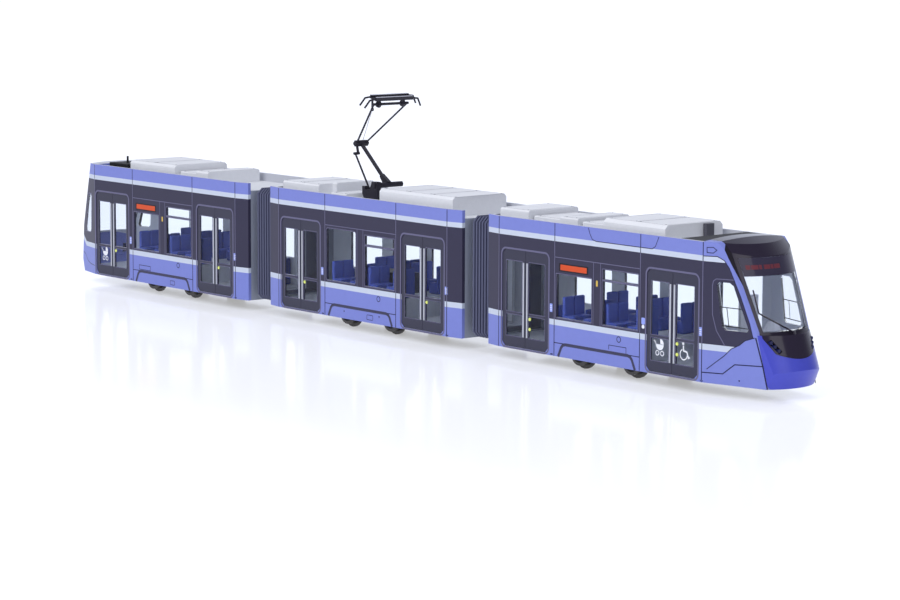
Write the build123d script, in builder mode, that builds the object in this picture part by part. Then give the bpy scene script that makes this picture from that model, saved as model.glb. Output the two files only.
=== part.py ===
"""Scale model of a three-section articulated low-floor tram, in millimetres.

The frame has +X towards the driver's cab, -Y on the side with the doors and +Z up.  The origin is on
the floor under the middle of the overall length, where the wheel flanges stand.  Inside a section, x
is measured from that section's own centre, and a height is measured from the skirt's lower edge.
On the cab and the tail, a reach is measured outwards from the seam where the side walls end.
"""
import os
from collections import namedtuple
from math import cos, hypot, radians, sin, sqrt

from build123d import *

# Sections of the body
section_half_length = 45.9
body_width = 26.4
end_width = 24.4
end_taper = 5.6
cab_length = 5.5
tail_length = 6.4
wall = 1.0
skirt_z = 3.2
side_height = 36.5
parapet_depth = 2.5
roof_thickness = 1.0
fit = 0.05

# Running gear
tread_radius = 3.45
flange_height = 1.0
wheel_back_to_back = 14.4
tyre_width = 2.8
flange_width = 0.7
wheel_sides = 24
axle_radius = 1.0
pin_sides = 16
wheelbase = 20.7
bogie_half_width = 6.6
bogie_beam_width = 1.8
bogie_low = -1.6
bogie_high = 2.2
bogie_end = 3.4
bolster_half = 4.0
axle_bay = 5.2
pivot_pin_radius = 1.5
bogie_gap = 0.3

# Floors
floor_height = 1.0
floor_thickness = 1.2
raised_floor_height = 6.8
raised_floor_half_length = 17.6
riser = 1.0

# Doors, on the right side only
door_inset = 16.7
door_width = 19.3
door_low = 0.5
door_high = 27.6
door_corner = 1.2
door_leaf = 0.7
door_recess = 0.15
leaf_gap = 0.12
door_stile = 1.5
door_mid_rail = 10.0
door_mid_rail_half = 0.35
door_glass_low = 3.5
door_glass_high = 24.6
door_bar_width = 0.55
door_bar_offset = 0.75
door_bar_low = 3.6
door_bar_high = 24.3

# Side windows
glass = 0.6
glass_recess = 0.1
window_post = 3.35
window_low = 10.8
low_window_high = 22.6
tall_window_high = 26.2
hopper_bar_low = 22.4
hopper_bar_high = 23.0
hopper_high = 25.6
mullion_rear = -2.1
mullion_front = 2.4
far_window_half = 7.7

# Gangways between the sections
gangway_gap = 3.5
bellows_length = 8.1
bellows_width = 22.4
bellows_core_width = 20.8
bellows_low = 0.8
bellows_top_gap = 1.3
bellows_folds = 6
bellows_corner = 1.6
gangway_width = 15.0
gangway_low = 2.6
gangway_top_gap = 5.0
end_frame = 1.0
coupling_low = -1.2
coupling_thickness = 0.8
coupling_width = 3.0
coupling_pin_radius = 0.7
coupling_gap = 0.2

# Seats and motor
seat_width = 7.6
seat_depth = 4.4
seat_cushion_height = 3.4
seat_back_height = 10.5
seat_back_thickness = 1.1
seat_wall_gap = 0.3
raised_seat_rows = [-13.0, -4.5, 4.5, 13.0]
low_seat_offset = 4.2
motor_length = 16.0
motor_width = 6.0
motor_height = 6.0

# Cab and tail
nose_reach = 24.2
nose_narrowing = 0.2287
belt = 13.65
crown_rise = 1.0
tail_reach = 15.0
tail_narrowing = 0.243
skin_roof = 0.6
cut_reach = 40.0

mask_belt_w = 8.8
mask_top_w = 10.9
mask_side_low = 12.9
mask_corner_w = 6.9
mask_corner_height = 9.1
mask_low = 7.7
screen_low = 14.4
screen_top_gap = 3.7
screen_inset = 0.9
apron_seam_top = 16.2
apron_seam_low = 19.6
lamp_radius = 0.5
lamp_sides = 12
lamp_spacing = 1.2
lamp_proud = 0.15
lamp_depth = 0.9
lamp_row_y = 6.7
lamp_row_height = 10.9
lamp_row_lean = 57.5
lamp_row_length = 3.6
lamp_row_width = 1.1
cab_floor_reach = 15.6
tail_floor_reach = 9.0
window_chamfer = 0.8
rear_window_w = 9.6
rear_window_low = 12.6
rear_window_high = 31.0
rear_window_corner = 1.6
tail_lamp_y = 7.0
tail_lamp_height = 6.4
tail_lamp_width = 1.8
tail_lamp_tall = 3.0

# Flat cover between the roof and the cab's dome, the aerial near the tail and the post near the cab
cover_length = 9.4
aerial_x0 = -34.5
aerial_x1 = -23.8
aerial_y0 = -10.5
aerial_y1 = -3.0
aerial_rise = 3.4
aerial_rod_x = -29.0
aerial_rod_y = -7.0
aerial_rod_rise = 5.6
aerial_rod_radius = 0.35
post_x0 = 23.6
post_x1 = 24.9
post_y0 = 3.2
post_y1 = 5.9
post_rise = 4.7

# Pantograph: x from the middle section's centre, rise above the roof
pantograph_x = -3.4
pantograph_rise = 5.4
knee_x = -16.4
knee_rise = 16.9
head_x = -2.2
head_rise = 31.0
head_tilt = 16.0
bar_sides = 6
shaft_radius = 0.8
shaft_near = 5.6
shaft_far = 5.2
base_y0 = -5.2
base_y1 = -3.6
base_front = 1.2
base_step = 2.2
base_top = 1.1
base_dip_rise = 4.0
arm_radius = 0.6
foot_length = 4.0
foot_half_width = 1.3
foot_half_depth = 0.55
rod_radius = 0.3
knee_half_width = 1.1
eye_radius = 0.9
eye_half_length = 0.5
cheek_gap = 0.15
cheek = 0.9
pin_radius = 0.4
head_half_width = 7.0
head_strip_spacing = 2.4
strip_width = 0.7
strip_height = 1.1
head_eye_y = 4.5
head_bar_width = 0.8
head_pivot_drop = 1.5
rod_top_y = 6.3
horn_radius = 0.3
horn_bend_y = 9.0
horn_bend_drop = 0.3
horn_end_y = 10.5
horn_end_drop = 2.6
tie_rod_x = -8.5
tie_rod_rise = 3.5
tie_rod_top_x = -15.6
tie_rod_top_rise = 14.0
tie_rod_y = -2.8
tie_lug_half = 0.7
tie_lug_top = 1.4

section_pitch = 2 * section_half_length + bellows_length + gangway_gap
cab_seam = section_half_length - cab_length
tail_seam = section_half_length - tail_length
middle_x = -(cab_seam + nose_reach - tail_seam - tail_reach) / 2
front_x = middle_x + section_pitch
rear_x = middle_x - section_pitch
cab_x = front_x + cab_seam
tail_x = rear_x - tail_seam

half_width = body_width / 2
end_half_width = end_width / 2
taper_start = section_half_length - end_taper
tapered_end = section_half_length - end_frame
axle_z = tread_radius + flange_height
roof_height = side_height - parapet_depth
floor_top = floor_height + floor_thickness
raised_top = raised_floor_height + floor_thickness
seat_top = raised_top + seat_back_height
bellows_high = side_height - bellows_top_gap
gangway_high = roof_height - gangway_top_gap
door_x = section_half_length - door_inset
window_outer = door_x - door_width / 2 - window_post
pivot_height = roof_height + pantograph_rise
knee_height = roof_height + knee_rise
head_height = roof_height + head_rise
head_shaft_height = head_height - head_pivot_drop
tie_height = roof_height + tie_rod_rise
tie_top_height = roof_height + tie_rod_top_rise
base_dip_height = roof_height + base_dip_rise

# Plans of the sections: outer (x, half width) from the rear end to the front end
rear_taper = [(-section_half_length, end_half_width), (-taper_start, half_width)]
front_taper = [(taper_start, half_width), (section_half_length, end_half_width)]
front_plan = rear_taper + [(cab_seam, half_width)]
middle_plan = rear_taper + front_taper
rear_plan = [(-tail_seam, half_width)] + front_taper

Opening = namedtuple("Opening", "x0 x1 low high")
Section = namedtuple("Section", "name x plan inner_rear inner_front windows_right windows_left")

low_window = Opening(-window_outer, mullion_rear, window_low, low_window_high)
tall_window = Opening(-window_outer, mullion_rear, window_low, tall_window_high)
hopper_windows = [
    Opening(mullion_front, window_outer, window_low, hopper_bar_low),
    Opening(mullion_front, window_outer, hopper_bar_high, hopper_high),
]
far_windows = [tall_window] + hopper_windows + [
    Opening(x - far_window_half, x + far_window_half, window_low, tall_window_high) for x in (-door_x, door_x)
]
display_side = [low_window] + hopper_windows
plain_side = [tall_window] + hopper_windows
sections = [
    Section("front", front_x, front_plan, -tapered_end, cab_seam, display_side, far_windows),
    Section("middle", middle_x, middle_plan, -tapered_end, tapered_end, plain_side, far_windows),
    Section("rear", rear_x, rear_plan, -tail_seam, tapered_end, display_side, far_windows),
]
front, middle, rear = sections
door_openings = [
    Opening(x - door_width / 2, x + door_width / 2, door_low, door_high) for x in (-door_x, door_x)
]


def level(height):
    """Height above the floor that the wheels stand on."""
    return skirt_z + height


def deck(origin_x, height):
    """Level plane with local x from origin_x."""
    return Plane((origin_x, 0, level(height)))


def side_plane(origin_x, side, depth):
    """Upright plane along one side, local y being height; side is -1 on the right, 1 on the left."""
    return Plane(origin=(origin_x, side * depth, level(0)), x_dir=(1, 0, 0), z_dir=(0, -1, 0))


def end_plane(x):
    """Upright plane across the tram, local x being +Y and local y being height."""
    return Plane(origin=(x, 0, level(0)), x_dir=(0, 1, 0), z_dir=(1, 0, 0))


def half_width_at(plan, x):
    for (xa, wa), (xb, wb) in zip(plan, plan[1:]):
        if xa <= x <= xb:
            return wa + (wb - wa) * (x - xa) / (xb - xa)


def wall_points(plan, side):
    outer = [(x, side * w) for x, w in plan]
    inner = [(x, side * (w - wall)) for x, w in reversed(plan)]
    return outer + inner


def inside_points(section):
    ends = (section.inner_rear, section.inner_front)
    stations = [ends[0]] + [x for x, w in section.plan if ends[0] < x < ends[1]] + [ends[1]]
    edge = [(x, half_width_at(section.plan, x) - wall) for x in stations]
    return edge + [(x, -w) for x, w in reversed(edge)]


def pane(opening, margin=0.0):
    """Upright rectangle of an opening, smaller all round by the margin."""
    with Locations(((opening.x0 + opening.x1) / 2, (opening.low + opening.high) / 2)):
        Rectangle(opening.x1 - opening.x0 - 2 * margin, opening.high - opening.low - 2 * margin)


def doorway(opening, margin=0.0):
    """Outline of a doorway with its corners cut, smaller all round by the margin."""
    with BuildSketch(mode=Mode.PRIVATE) as outline:
        pane(opening, margin)
        chamfer(outline.vertices(), door_corner - margin)
    add(outline.sketch)


def door_panes(x):
    """Upper and lower glass of both leaves of one door."""
    inner = door_bar_offset + door_bar_width
    outer = door_width / 2 - door_stile
    panes = []
    for x0, x1 in ((x - outer, x - inner), (x + inner, x + outer)):
        panes.append(Opening(x0, x1, door_glass_low, door_mid_rail - door_mid_rail_half))
        panes.append(Opening(x0, x1, door_mid_rail + door_mid_rail_half, door_glass_high))
    return panes


def side_wall(section, side):
    with BuildPart() as panel:
        with BuildSketch(deck(section.x, 0)):
            Polygon(*wall_points(section.plan, side), align=None)
        extrude(amount=side_height)
        with BuildSketch(side_plane(section.x, side, half_width - 2 * wall)):
            for opening in section.windows_left if side > 0 else section.windows_right:
                pane(opening)
            if side < 0:
                for opening in door_openings:
                    doorway(opening)
        extrude(amount=-side * 3 * wall, mode=Mode.SUBTRACT)
    return panel.part


def glazing(section):
    with BuildPart() as panes:
        for side, windows in ((-1, section.windows_right), (1, section.windows_left)):
            with BuildSketch(side_plane(section.x, side, half_width - glass_recess)):
                for window in windows:
                    pane(window, fit)
            extrude(amount=side * glass)
        with BuildSketch(side_plane(section.x, -1, half_width - door_recess)):
            for x in (-door_x, door_x):
                for window in door_panes(x):
                    pane(window, fit)
        extrude(amount=-glass)
    return panes.part


def doors(section):
    """Two-leaf doors with a grab bar on each leaf."""
    bar_middle = (door_bar_low + door_bar_high) / 2
    with BuildPart() as leaves:
        with BuildSketch(side_plane(section.x, -1, half_width - door_recess)):
            for opening in door_openings:
                doorway(opening, fit)
        extrude(amount=-door_leaf)
        with BuildSketch(side_plane(section.x, -1, half_width - door_recess)):
            for x in (-door_x, door_x):
                for window in door_panes(x):
                    pane(window)
                pane(Opening(x - leaf_gap / 2, x + leaf_gap / 2, 0, side_height))
        extrude(amount=-door_leaf, mode=Mode.SUBTRACT)
        with BuildSketch(side_plane(section.x, -1, half_width - door_recess)):
            for x in (-door_x, door_x):
                with Locations((x - door_bar_offset, bar_middle), (x + door_bar_offset, bar_middle)):
                    Rectangle(door_bar_width, door_bar_high - door_bar_low)
        extrude(amount=door_recess)
    return leaves.part


def roof_panel(section):
    with BuildPart() as panel:
        with BuildSketch(deck(section.x, roof_height - roof_thickness)):
            Polygon(*inside_points(section), align=None)
        extrude(amount=roof_thickness)
    return panel.part


def floor_pan(section, shell_floor=None):
    """Low floor with a raised box over the bogie, the bogie's pivot pin and the floor of an end shell."""
    with BuildPart() as pan:
        with BuildSketch(deck(section.x, floor_height)):
            Polygon(*inside_points(section), align=None)
            if shell_floor:
                Polygon(*shell_floor, align=None)
        extrude(amount=floor_thickness)
        with BuildSketch(deck(section.x, floor_height)):
            Rectangle(2 * raised_floor_half_length, body_width - 2 * wall)
        extrude(amount=raised_top - floor_height)
        with BuildSketch(deck(section.x, floor_height)):
            Rectangle(2 * (raised_floor_half_length - riser), body_width)
        extrude(amount=raised_floor_height - floor_height, mode=Mode.SUBTRACT)
        with BuildSketch(Plane((section.x, 0, axle_z))):
            Circle(pivot_pin_radius)
        extrude(amount=level(raised_floor_height) - axle_z)
    return pan.part


SeatRow = namedtuple("SeatRow", "x facing floor sides")
seat_rows = [
    SeatRow(x, -1 if index % 2 else 1, raised_top, (-1, 1)) for index, x in enumerate(raised_seat_rows)
] + [
    SeatRow(x + facing * low_seat_offset, -facing, floor_top, (1,)) for x in (-door_x, door_x) for facing in (-1, 1)
]


def seats(section):
    """Facing benches on the raised floor along both walls, and on the low floor across from the doors."""
    outer = half_width - wall - seat_wall_gap
    with BuildPart() as benches:
        for row in seat_rows:
            back = row.x - row.facing * seat_depth / 2
            front_edge = row.x + row.facing * seat_depth / 2
            back_face = back + row.facing * seat_back_thickness
            cushion = row.floor + seat_cushion_height
            for side in row.sides:
                with BuildSketch(side_plane(section.x, side, outer)):
                    Polygon(
                        (back, row.floor), (front_edge, row.floor), (front_edge, cushion), (back_face, cushion),
                        (back_face, seat_top), (back, seat_top), align=None,
                    )
                extrude(amount=side * seat_width)
    return benches.part


def end_frame_plate(section, direction, carries_pin):
    """Frame round the gangway at a tapered end, with its half of the coupling below it."""
    x_face = direction * section_half_length
    x_back = direction * tapered_end
    plate_half = half_width_at(middle_plan, tapered_end) - wall
    reach = gangway_gap / 2 if carries_pin else bellows_length + gangway_gap / 2
    pivot_x = x_face + direction * reach
    low = coupling_low if carries_pin else coupling_low + coupling_thickness + coupling_gap
    with BuildPart() as frame:
        with BuildSketch(deck(section.x, 0)):
            Polygon(
                (x_back, -plate_half), (x_face, wall - end_half_width),
                (x_face, end_half_width - wall), (x_back, plate_half), align=None,
            )
        extrude(amount=roof_height)
        with BuildSketch(end_plane(section.x + min(x_face, x_back) - wall)):
            with Locations((0, (gangway_low + gangway_high) / 2)):
                Rectangle(gangway_width, gangway_high - gangway_low)
        extrude(amount=end_frame + 2 * wall, mode=Mode.SUBTRACT)
        with BuildSketch(deck(section.x, low)):
            with Locations(((x_back + pivot_x) / 2, 0)):
                Rectangle(abs(pivot_x - x_back), coupling_width)
            with Locations((pivot_x, 0)):
                RegularPolygon(coupling_width / 2, bar_sides, major_radius=False, rotation=180 / bar_sides)
        extrude(amount=coupling_thickness)
        with BuildSketch(deck(section.x, low)):
            with Locations(((x_back + x_face) / 2, 0)):
                Rectangle(end_frame, coupling_width)
        extrude(amount=-low)
        with BuildSketch(deck(section.x + pivot_x, low)):
            if carries_pin:
                Circle(coupling_pin_radius)
            else:
                RegularPolygon(coupling_pin_radius + fit, pin_sides, major_radius=False)
        if carries_pin:
            extrude(amount=2 * coupling_thickness + 2 * coupling_gap)
        else:
            extrude(amount=coupling_thickness, mode=Mode.SUBTRACT)
    return frame.part


def bellows(face_x):
    """Ribbed tube that reaches back from a section's rear face at face_x."""
    fold = bellows_length / (2 * bellows_folds + 1)
    height = bellows_high - bellows_low
    with BuildPart() as tube:
        for index in range(2 * bellows_folds + 1):
            width = bellows_core_width if index % 2 else bellows_width
            with BuildSketch(end_plane(face_x - (index + 1) * fold)):
                with Locations((0, (bellows_low + bellows_high) / 2)):
                    Rectangle(width, height - bellows_width + width)
                chamfer(vertices(), bellows_corner)
            extrude(amount=fold)
        with BuildSketch(end_plane(face_x - bellows_length)):
            with Locations((0, (gangway_low + gangway_high) / 2)):
                Rectangle(gangway_width, gangway_high - gangway_low)
        extrude(amount=bellows_length, mode=Mode.SUBTRACT)
    return tube.part


# Cab and tail: a straight-sided plan cut by leaning blades, each an arc across the end whose tip goes
# from low_reach at its low height to high_reach at its high height
Blade = namedtuple("Blade", "radius low low_reach high high_reach")
Zone = namedtuple("Zone", "low high blades")
Shell = namedtuple("Shell", "x facing narrowing zones")

dome_high = side_height + crown_rise
nose = Shell(cab_x, 1, nose_narrowing, [
    Zone(0, belt, [
        Blade(15.4, 0, nose_reach - 2.2, 4.8, nose_reach),
        Blade(12.8, 4.8, nose_reach, belt, nose_reach - 3.3),
    ]),
    Zone(belt, dome_high, [
        Blade(18.0, belt, nose_reach - 5.1, side_height - 4.0, nose_reach - 12.2),
        Blade(28.0, side_height - 3.5, nose_reach - 12.4, side_height - 0.5, nose_reach - 15.4),
        Blade(64.0, side_height - 0.5, nose_reach - 15.4, dome_high, nose_reach - 19.1),
    ]),
])
tail = Shell(tail_x, -1, tail_narrowing, [
    Zone(0, side_height, [
        Blade(21.0, 0, tail_reach - 1.3, 4.0, tail_reach),
        Blade(20.0, 4.0, tail_reach, belt, tail_reach - 0.9),
        Blade(23.0, belt, tail_reach - 0.9, side_height, tail_reach - 7.5),
    ]),
])


def shell_half_width(shell, reach, inset):
    return half_width - shell.narrowing * reach - inset * hypot(1, shell.narrowing)


def shell_plan(shell, start, end, inset):
    """Corners of a shell's straight-sided plan between two reaches, x from the seam."""
    near = shell_half_width(shell, start, inset)
    far = shell_half_width(shell, end, inset)
    start_x, end_x = shell.facing * start, shell.facing * end
    return [(start_x, -near), (end_x, -far), (end_x, far), (start_x, near)]


def blade_lean(blade):
    return (blade.high_reach - blade.low_reach) / (blade.high - blade.low)


def blade_solid(shell, blade, inset, low):
    """Everything behind one leaning blade, set back by the inset."""
    lean = shell.facing * blade_lean(blade)
    tip = blade.low_reach + blade_lean(blade) * (low - blade.low) - inset * hypot(1, lean)
    radius = blade.radius - inset
    leaning = Plane(
        origin=(shell.x + shell.facing * tip, 0, level(low)), x_dir=(1, 0, -lean), z_dir=(lean, 0, 1),
    )
    with BuildPart() as behind:
        with BuildSketch(leaning.offset(-cut_reach)):
            with Locations((-shell.facing * radius, 0)):
                Circle(radius)
            with Locations((-shell.facing * (radius + cut_reach), 0)):
                Rectangle(2 * cut_reach, 2 * max(radius, half_width))
        extrude(amount=3 * cut_reach)
    return behind.part


def zone_solid(shell, zone, inset, low, high):
    with BuildPart() as solid:
        with BuildSketch(deck(shell.x, low)):
            Polygon(*shell_plan(shell, -inset, cut_reach, inset), align=None)
        extrude(amount=high - low)
        for blade in zone.blades:
            add(blade_solid(shell, blade, inset, low), mode=Mode.INTERSECT)
    return solid.part


def end_shell(shell, roof):
    """Hollow shell of a cab or tail, open below and at the seam, with a roof of the given thickness."""
    ceiling = side_height - roof
    with BuildPart() as hull:
        for zone in shell.zones:
            add(zone_solid(shell, zone, 0, zone.low, zone.high))
        for zone in shell.zones:
            high = ceiling if zone.high > ceiling else zone.high - wall
            add(zone_solid(shell, zone, wall, zone.low - wall, high), mode=Mode.SUBTRACT)
    return hull.part


def side_prism(shell, corners, margin, corner=0.0):
    """Prism through both sides of a shell from (reach, height) corners."""
    with BuildPart() as prism:
        with BuildSketch(side_plane(shell.x, 1, 0)):
            Polygon(*[(shell.facing * reach, height) for reach, height in corners], align=None)
            if corner:
                chamfer(vertices(), corner)
            if margin:
                offset(amount=-margin, mode=Mode.REPLACE)
        extrude(amount=body_width, both=True)
    return prism.part


def lamp_slots(margin):
    """Leaning slots through the mask for the rows of front lamps."""
    with BuildPart() as slots:
        with BuildSketch(end_plane(cab_x)):
            for side, angle in ((-1, 180 - lamp_row_lean), (1, lamp_row_lean)):
                with Locations(Location((side * lamp_row_y, lamp_row_height), angle)):
                    Rectangle(lamp_row_length - 2 * margin, lamp_row_width - 2 * margin)
        extrude(amount=cut_reach)
    return slots.part


def tail_lamp_prisms(margin):
    with BuildPart() as prisms:
        with BuildSketch(end_plane(tail_x - wall)):
            with Locations((-tail_lamp_y, tail_lamp_height), (tail_lamp_y, tail_lamp_height)):
                Rectangle(tail_lamp_width - 2 * margin, tail_lamp_tall - 2 * margin)
        extrude(amount=-cut_reach)
    return prisms.part


def on_blade(blade, y, height, lift):
    """Point ahead of one of the nose's blades by the lift, as reach, y and height."""
    lean = blade_lean(blade)
    sag = hypot(1, lean) * (blade.radius - sqrt(blade.radius ** 2 - y ** 2))
    return (blade.low_reach + lean * (height - blade.low) - sag + lift, y, height)


def mask_prism(margin):
    """Front view of the black mask, which runs up over the dome."""
    slope = (mask_top_w - mask_belt_w) / (side_height - belt)
    top = dome_high + wall
    belt_w = mask_belt_w - margin
    top_w = mask_top_w + slope * (top - side_height) - margin
    corner_w = mask_corner_w - margin
    corner_height = mask_corner_height + margin
    with BuildPart() as prism:
        with BuildSketch(end_plane(cab_x)):
            with BuildLine():
                Polyline(
                    (-corner_w, corner_height), (-belt_w, mask_side_low), (-belt_w, belt), (-top_w, top),
                    (top_w, top), (belt_w, belt), (belt_w, mask_side_low), (corner_w, corner_height),
                )
                ThreePointArc((corner_w, corner_height), (0, mask_low + margin), (-corner_w, corner_height))
            make_face()
        extrude(amount=cut_reach)
    return prism.part


def screen_prism(margin):
    slope = (mask_top_w - mask_belt_w) / (side_height - belt)
    high = side_height - screen_top_gap
    low_w = mask_belt_w + slope * (screen_low - belt) - screen_inset - margin
    high_w = mask_belt_w + slope * (high - belt) - screen_inset - margin
    with BuildPart() as prism:
        with BuildSketch(end_plane(cab_x)):
            Polygon(
                (-low_w, screen_low + margin), (-high_w, high - margin),
                (high_w, high - margin), (low_w, screen_low + margin), align=None,
            )
        extrude(amount=cut_reach)
    return prism.part


def rear_window_prism(margin):
    with BuildPart() as prism:
        with BuildSketch(end_plane(tail_x - 2 * wall)):
            with Locations((0, (rear_window_low + rear_window_high) / 2)):
                Rectangle(2 * (rear_window_w - margin), rear_window_high - rear_window_low - 2 * margin)
            chamfer(vertices(), rear_window_corner)
        extrude(amount=-cut_reach)
    return prism.part


# Side windows of the shells as (reach, height)
cab_window = [(4.0, 26.5), (8.8, 26.5), (14.0, 14.2), (6.0, 14.2)]
tail_window = [(3.1, 26.5), (5.7, 26.5), (9.1, 13.6), (3.7, 13.6)]
shell_roof = parapet_depth + roof_thickness

cab_whole = end_shell(nose, shell_roof)
cab_skin = end_shell(nose, skin_roof)
tail_whole = end_shell(tail, shell_roof)

# The dome's top is arched across, from the top of the sides to the crown on the centreline
arch_radius = (half_width ** 2 + crown_rise ** 2) / (2 * crown_rise)
with BuildPart() as arch:
    with BuildSketch(end_plane(cab_x - wall)):
        with Locations((0, dome_high - arch_radius)):
            Circle(arch_radius)
        with Locations((0, side_height / 2 - wall)):
            Rectangle(body_width + 2 * wall, side_height + 2 * wall + 2 * crown_rise, mode=Mode.INTERSECT)
    extrude(amount=cut_reach)


def apron_prism(margin):
    """Front of the lower nose, ahead of its sloping seam."""
    drop = (apron_seam_low - apron_seam_top) / belt
    return side_prism(nose, [
        (apron_seam_top + margin, belt), (apron_seam_low + drop * wall + margin, -wall),
        (cut_reach, -wall), (cut_reach, belt),
    ], 0)


with BuildPart() as skin:
    add(cab_skin)
    add(arch.part, mode=Mode.INTERSECT)

with BuildPart() as hull:
    add(cab_whole)
    add(arch.part, mode=Mode.INTERSECT)

with BuildPart() as mask_recess:
    add(skin.part)
    add(mask_prism(0), mode=Mode.INTERSECT)

with BuildPart() as cab_shell:
    add(hull.part)
    add(mask_recess.part, mode=Mode.SUBTRACT)
    add(side_prism(nose, cab_window, 0, window_chamfer), mode=Mode.SUBTRACT)
    add(apron_prism(0), mode=Mode.SUBTRACT)

with BuildPart() as apron:
    add(hull.part)
    add(apron_prism(fit), mode=Mode.INTERSECT)
    add(mask_recess.part, mode=Mode.SUBTRACT)

with BuildPart() as mask:
    add(skin.part)
    add(mask_prism(fit), mode=Mode.INTERSECT)
    add(screen_prism(0), mode=Mode.SUBTRACT)
    add(lamp_slots(0), mode=Mode.SUBTRACT)

with BuildPart() as windscreen:
    add(skin.part)
    add(screen_prism(fit), mode=Mode.INTERSECT)

# Two housings in the mask's slots, each with a row of three round lamps out to the mask's face
apron_blade = nose.zones[0].blades[1]
screen_blade = nose.zones[1].blades[0]
row_cos, row_sin = cos(radians(lamp_row_lean)), sin(radians(lamp_row_lean))
slot_end_y = lamp_row_y + row_cos * lamp_row_length / 2 + row_sin * lamp_row_width / 2
slot_end_height = lamp_row_height + row_sin * lamp_row_length / 2 - row_cos * lamp_row_width / 2
housing_x = cab_x + on_blade(apron_blade, slot_end_y, slot_end_height, -lamp_proud)[0]
with BuildPart() as front_lamps:
    add(lamp_slots(fit))
    with BuildSketch(end_plane(housing_x)):
        Rectangle(2 * body_width, 2 * side_height)
    extrude(amount=-lamp_depth, mode=Mode.INTERSECT)
    for along in (-lamp_spacing, 0, lamp_spacing):
        y = lamp_row_y + along * row_cos
        height = lamp_row_height + along * row_sin
        lamp_x = cab_x + on_blade(apron_blade, y, height, lamp_proud)[0]
        with BuildSketch(end_plane(housing_x)):
            with Locations((-y, height), (y, height)):
                RegularPolygon(lamp_radius, lamp_sides)
        extrude(amount=lamp_x - housing_x)

with BuildPart() as front_glazing:
    add(hull.part)
    add(side_prism(nose, cab_window, fit, window_chamfer), mode=Mode.INTERSECT)
    add(glazing(front))

with BuildPart() as tail_shell:
    add(tail_whole)
    add(rear_window_prism(0), mode=Mode.SUBTRACT)
    add(side_prism(tail, tail_window, 0, window_chamfer), mode=Mode.SUBTRACT)
    add(tail_lamp_prisms(0), mode=Mode.SUBTRACT)

with BuildPart() as rear_window:
    add(tail_whole)
    add(rear_window_prism(fit), mode=Mode.INTERSECT)

with BuildPart() as rear_lamps:
    add(tail_whole)
    add(tail_lamp_prisms(fit), mode=Mode.INTERSECT)

with BuildPart() as rear_glazing:
    add(tail_whole)
    add(side_prism(tail, tail_window, fit, window_chamfer), mode=Mode.INTERSECT)
    add(glazing(rear))


def shell_floor(section, shell, end):
    """Level outline of the floor inside a shell, x from its section's centre."""
    return [(x + shell.x - section.x, y) for x, y in shell_plan(shell, 0, end, wall + fit)]


# Cab fittings as blocks: reach, length, half width, low and high; and a rounded hood on the desk
Fitting = namedtuple("Fitting", "reach length half_width low high")
driver_seat = raised_top + seat_cushion_height
fittings = [
    Fitting(10.4, 4.0, 6.5, floor_top, 12.4),
    Fitting(3.0, 4.4, 3.0, floor_top, driver_seat),
    Fitting(3.0, seat_back_thickness, 3.0, driver_seat, driver_seat + seat_back_height),
    Fitting(3.6, 4.4, 8.2, side_height - 7.9, side_height - shell_roof),
]
hood_reach = 12.2
hood_radius = 3.0
hood_height = 3.6
hood_taper = 25.0
with BuildPart() as cab_fittings:
    for item in fittings:
        with BuildSketch(deck(cab_x, item.low)):
            with Locations((item.reach + item.length / 2, 0)):
                Rectangle(item.length, 2 * item.half_width)
        extrude(amount=item.high - item.low)
    with BuildSketch(deck(cab_x, fittings[0].high)):
        with Locations((hood_reach, 0)):
            RegularPolygon(hood_radius, lamp_sides)
    extrude(amount=hood_height, taper=hood_taper)


def bar_between(origin_x, start, end, radius):
    """Straight bar between two (x, y, height) points, x from origin_x."""
    a = Vector(origin_x + start[0], start[1], level(start[2]))
    b = Vector(origin_x + end[0], end[1], level(end[2]))
    with BuildPart() as bar:
        with BuildSketch(Plane(origin=a, z_dir=b - a)):
            RegularPolygon(radius, bar_sides)
        extrude(amount=(b - a).length)
    return bar.part


# Wiper: a boss on the ledge below the windscreen, a bent arm and an upright blade
wiper_radius = 0.22
wiper_lift = 0.45
wiper_boss = 0.45
wiper_boss_height = 0.9
wiper_joint = on_blade(screen_blade, -4.2, 16.6, wiper_lift)
wiper_elbow = on_blade(screen_blade, -8.2, 19.2, wiper_lift)
wiper_top = on_blade(screen_blade, -8.2, 24.9, wiper_lift)
wiper_boss_reach = nose_reach - 4.2
with BuildPart() as wiper:
    with BuildSketch(deck(cab_x, belt)):
        with Locations((wiper_boss_reach, 0)):
            RegularPolygon(wiper_boss, bar_sides)
    extrude(amount=wiper_boss_height)
    add(bar_between(cab_x, (wiper_boss_reach, 0, belt + wiper_boss_height / 2), wiper_joint, wiper_radius))
    add(bar_between(cab_x, wiper_joint, wiper_elbow, wiper_radius))
    add(bar_between(cab_x, wiper_elbow, wiper_top, wiper_radius))

# Roof gear: x0, x1, y0, y1, rise above the roof and bevel of the long edges
RoofBox = namedtuple("RoofBox", "x0 x1 y0 y1 rise bevel")
gear_end = tapered_end - 0.4
front_gear = [
    RoofBox(-gear_end, -32.5, -9.2, 9.2, 4.3, 0.5),
    RoofBox(-31.5, -20.0, -8.0, 8.0, 2.9, 0.3),
    RoofBox(-19.0, -12.0, -9.5, 9.5, 3.8, 0.4),
    RoofBox(-11.0, -1.5, -8.5, 8.5, 3.0, 0.3),
    RoofBox(-0.5, 23.4, -10.5, 10.5, 5.0, 1.0),
]
middle_gear = [
    RoofBox(-gear_end + 2.0, -24.6, -9.8, 9.8, 4.4, 0.5),
    RoofBox(-24.6, -22.6, -4.5, 9.8, 4.7, 0.4),
    RoofBox(-19.5, -12.0, -9.0, 9.0, 2.4, 0.3),
    RoofBox(5.3, gear_end - 5.5, -10.0, 10.0, 5.5, 0.8),
]
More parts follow.
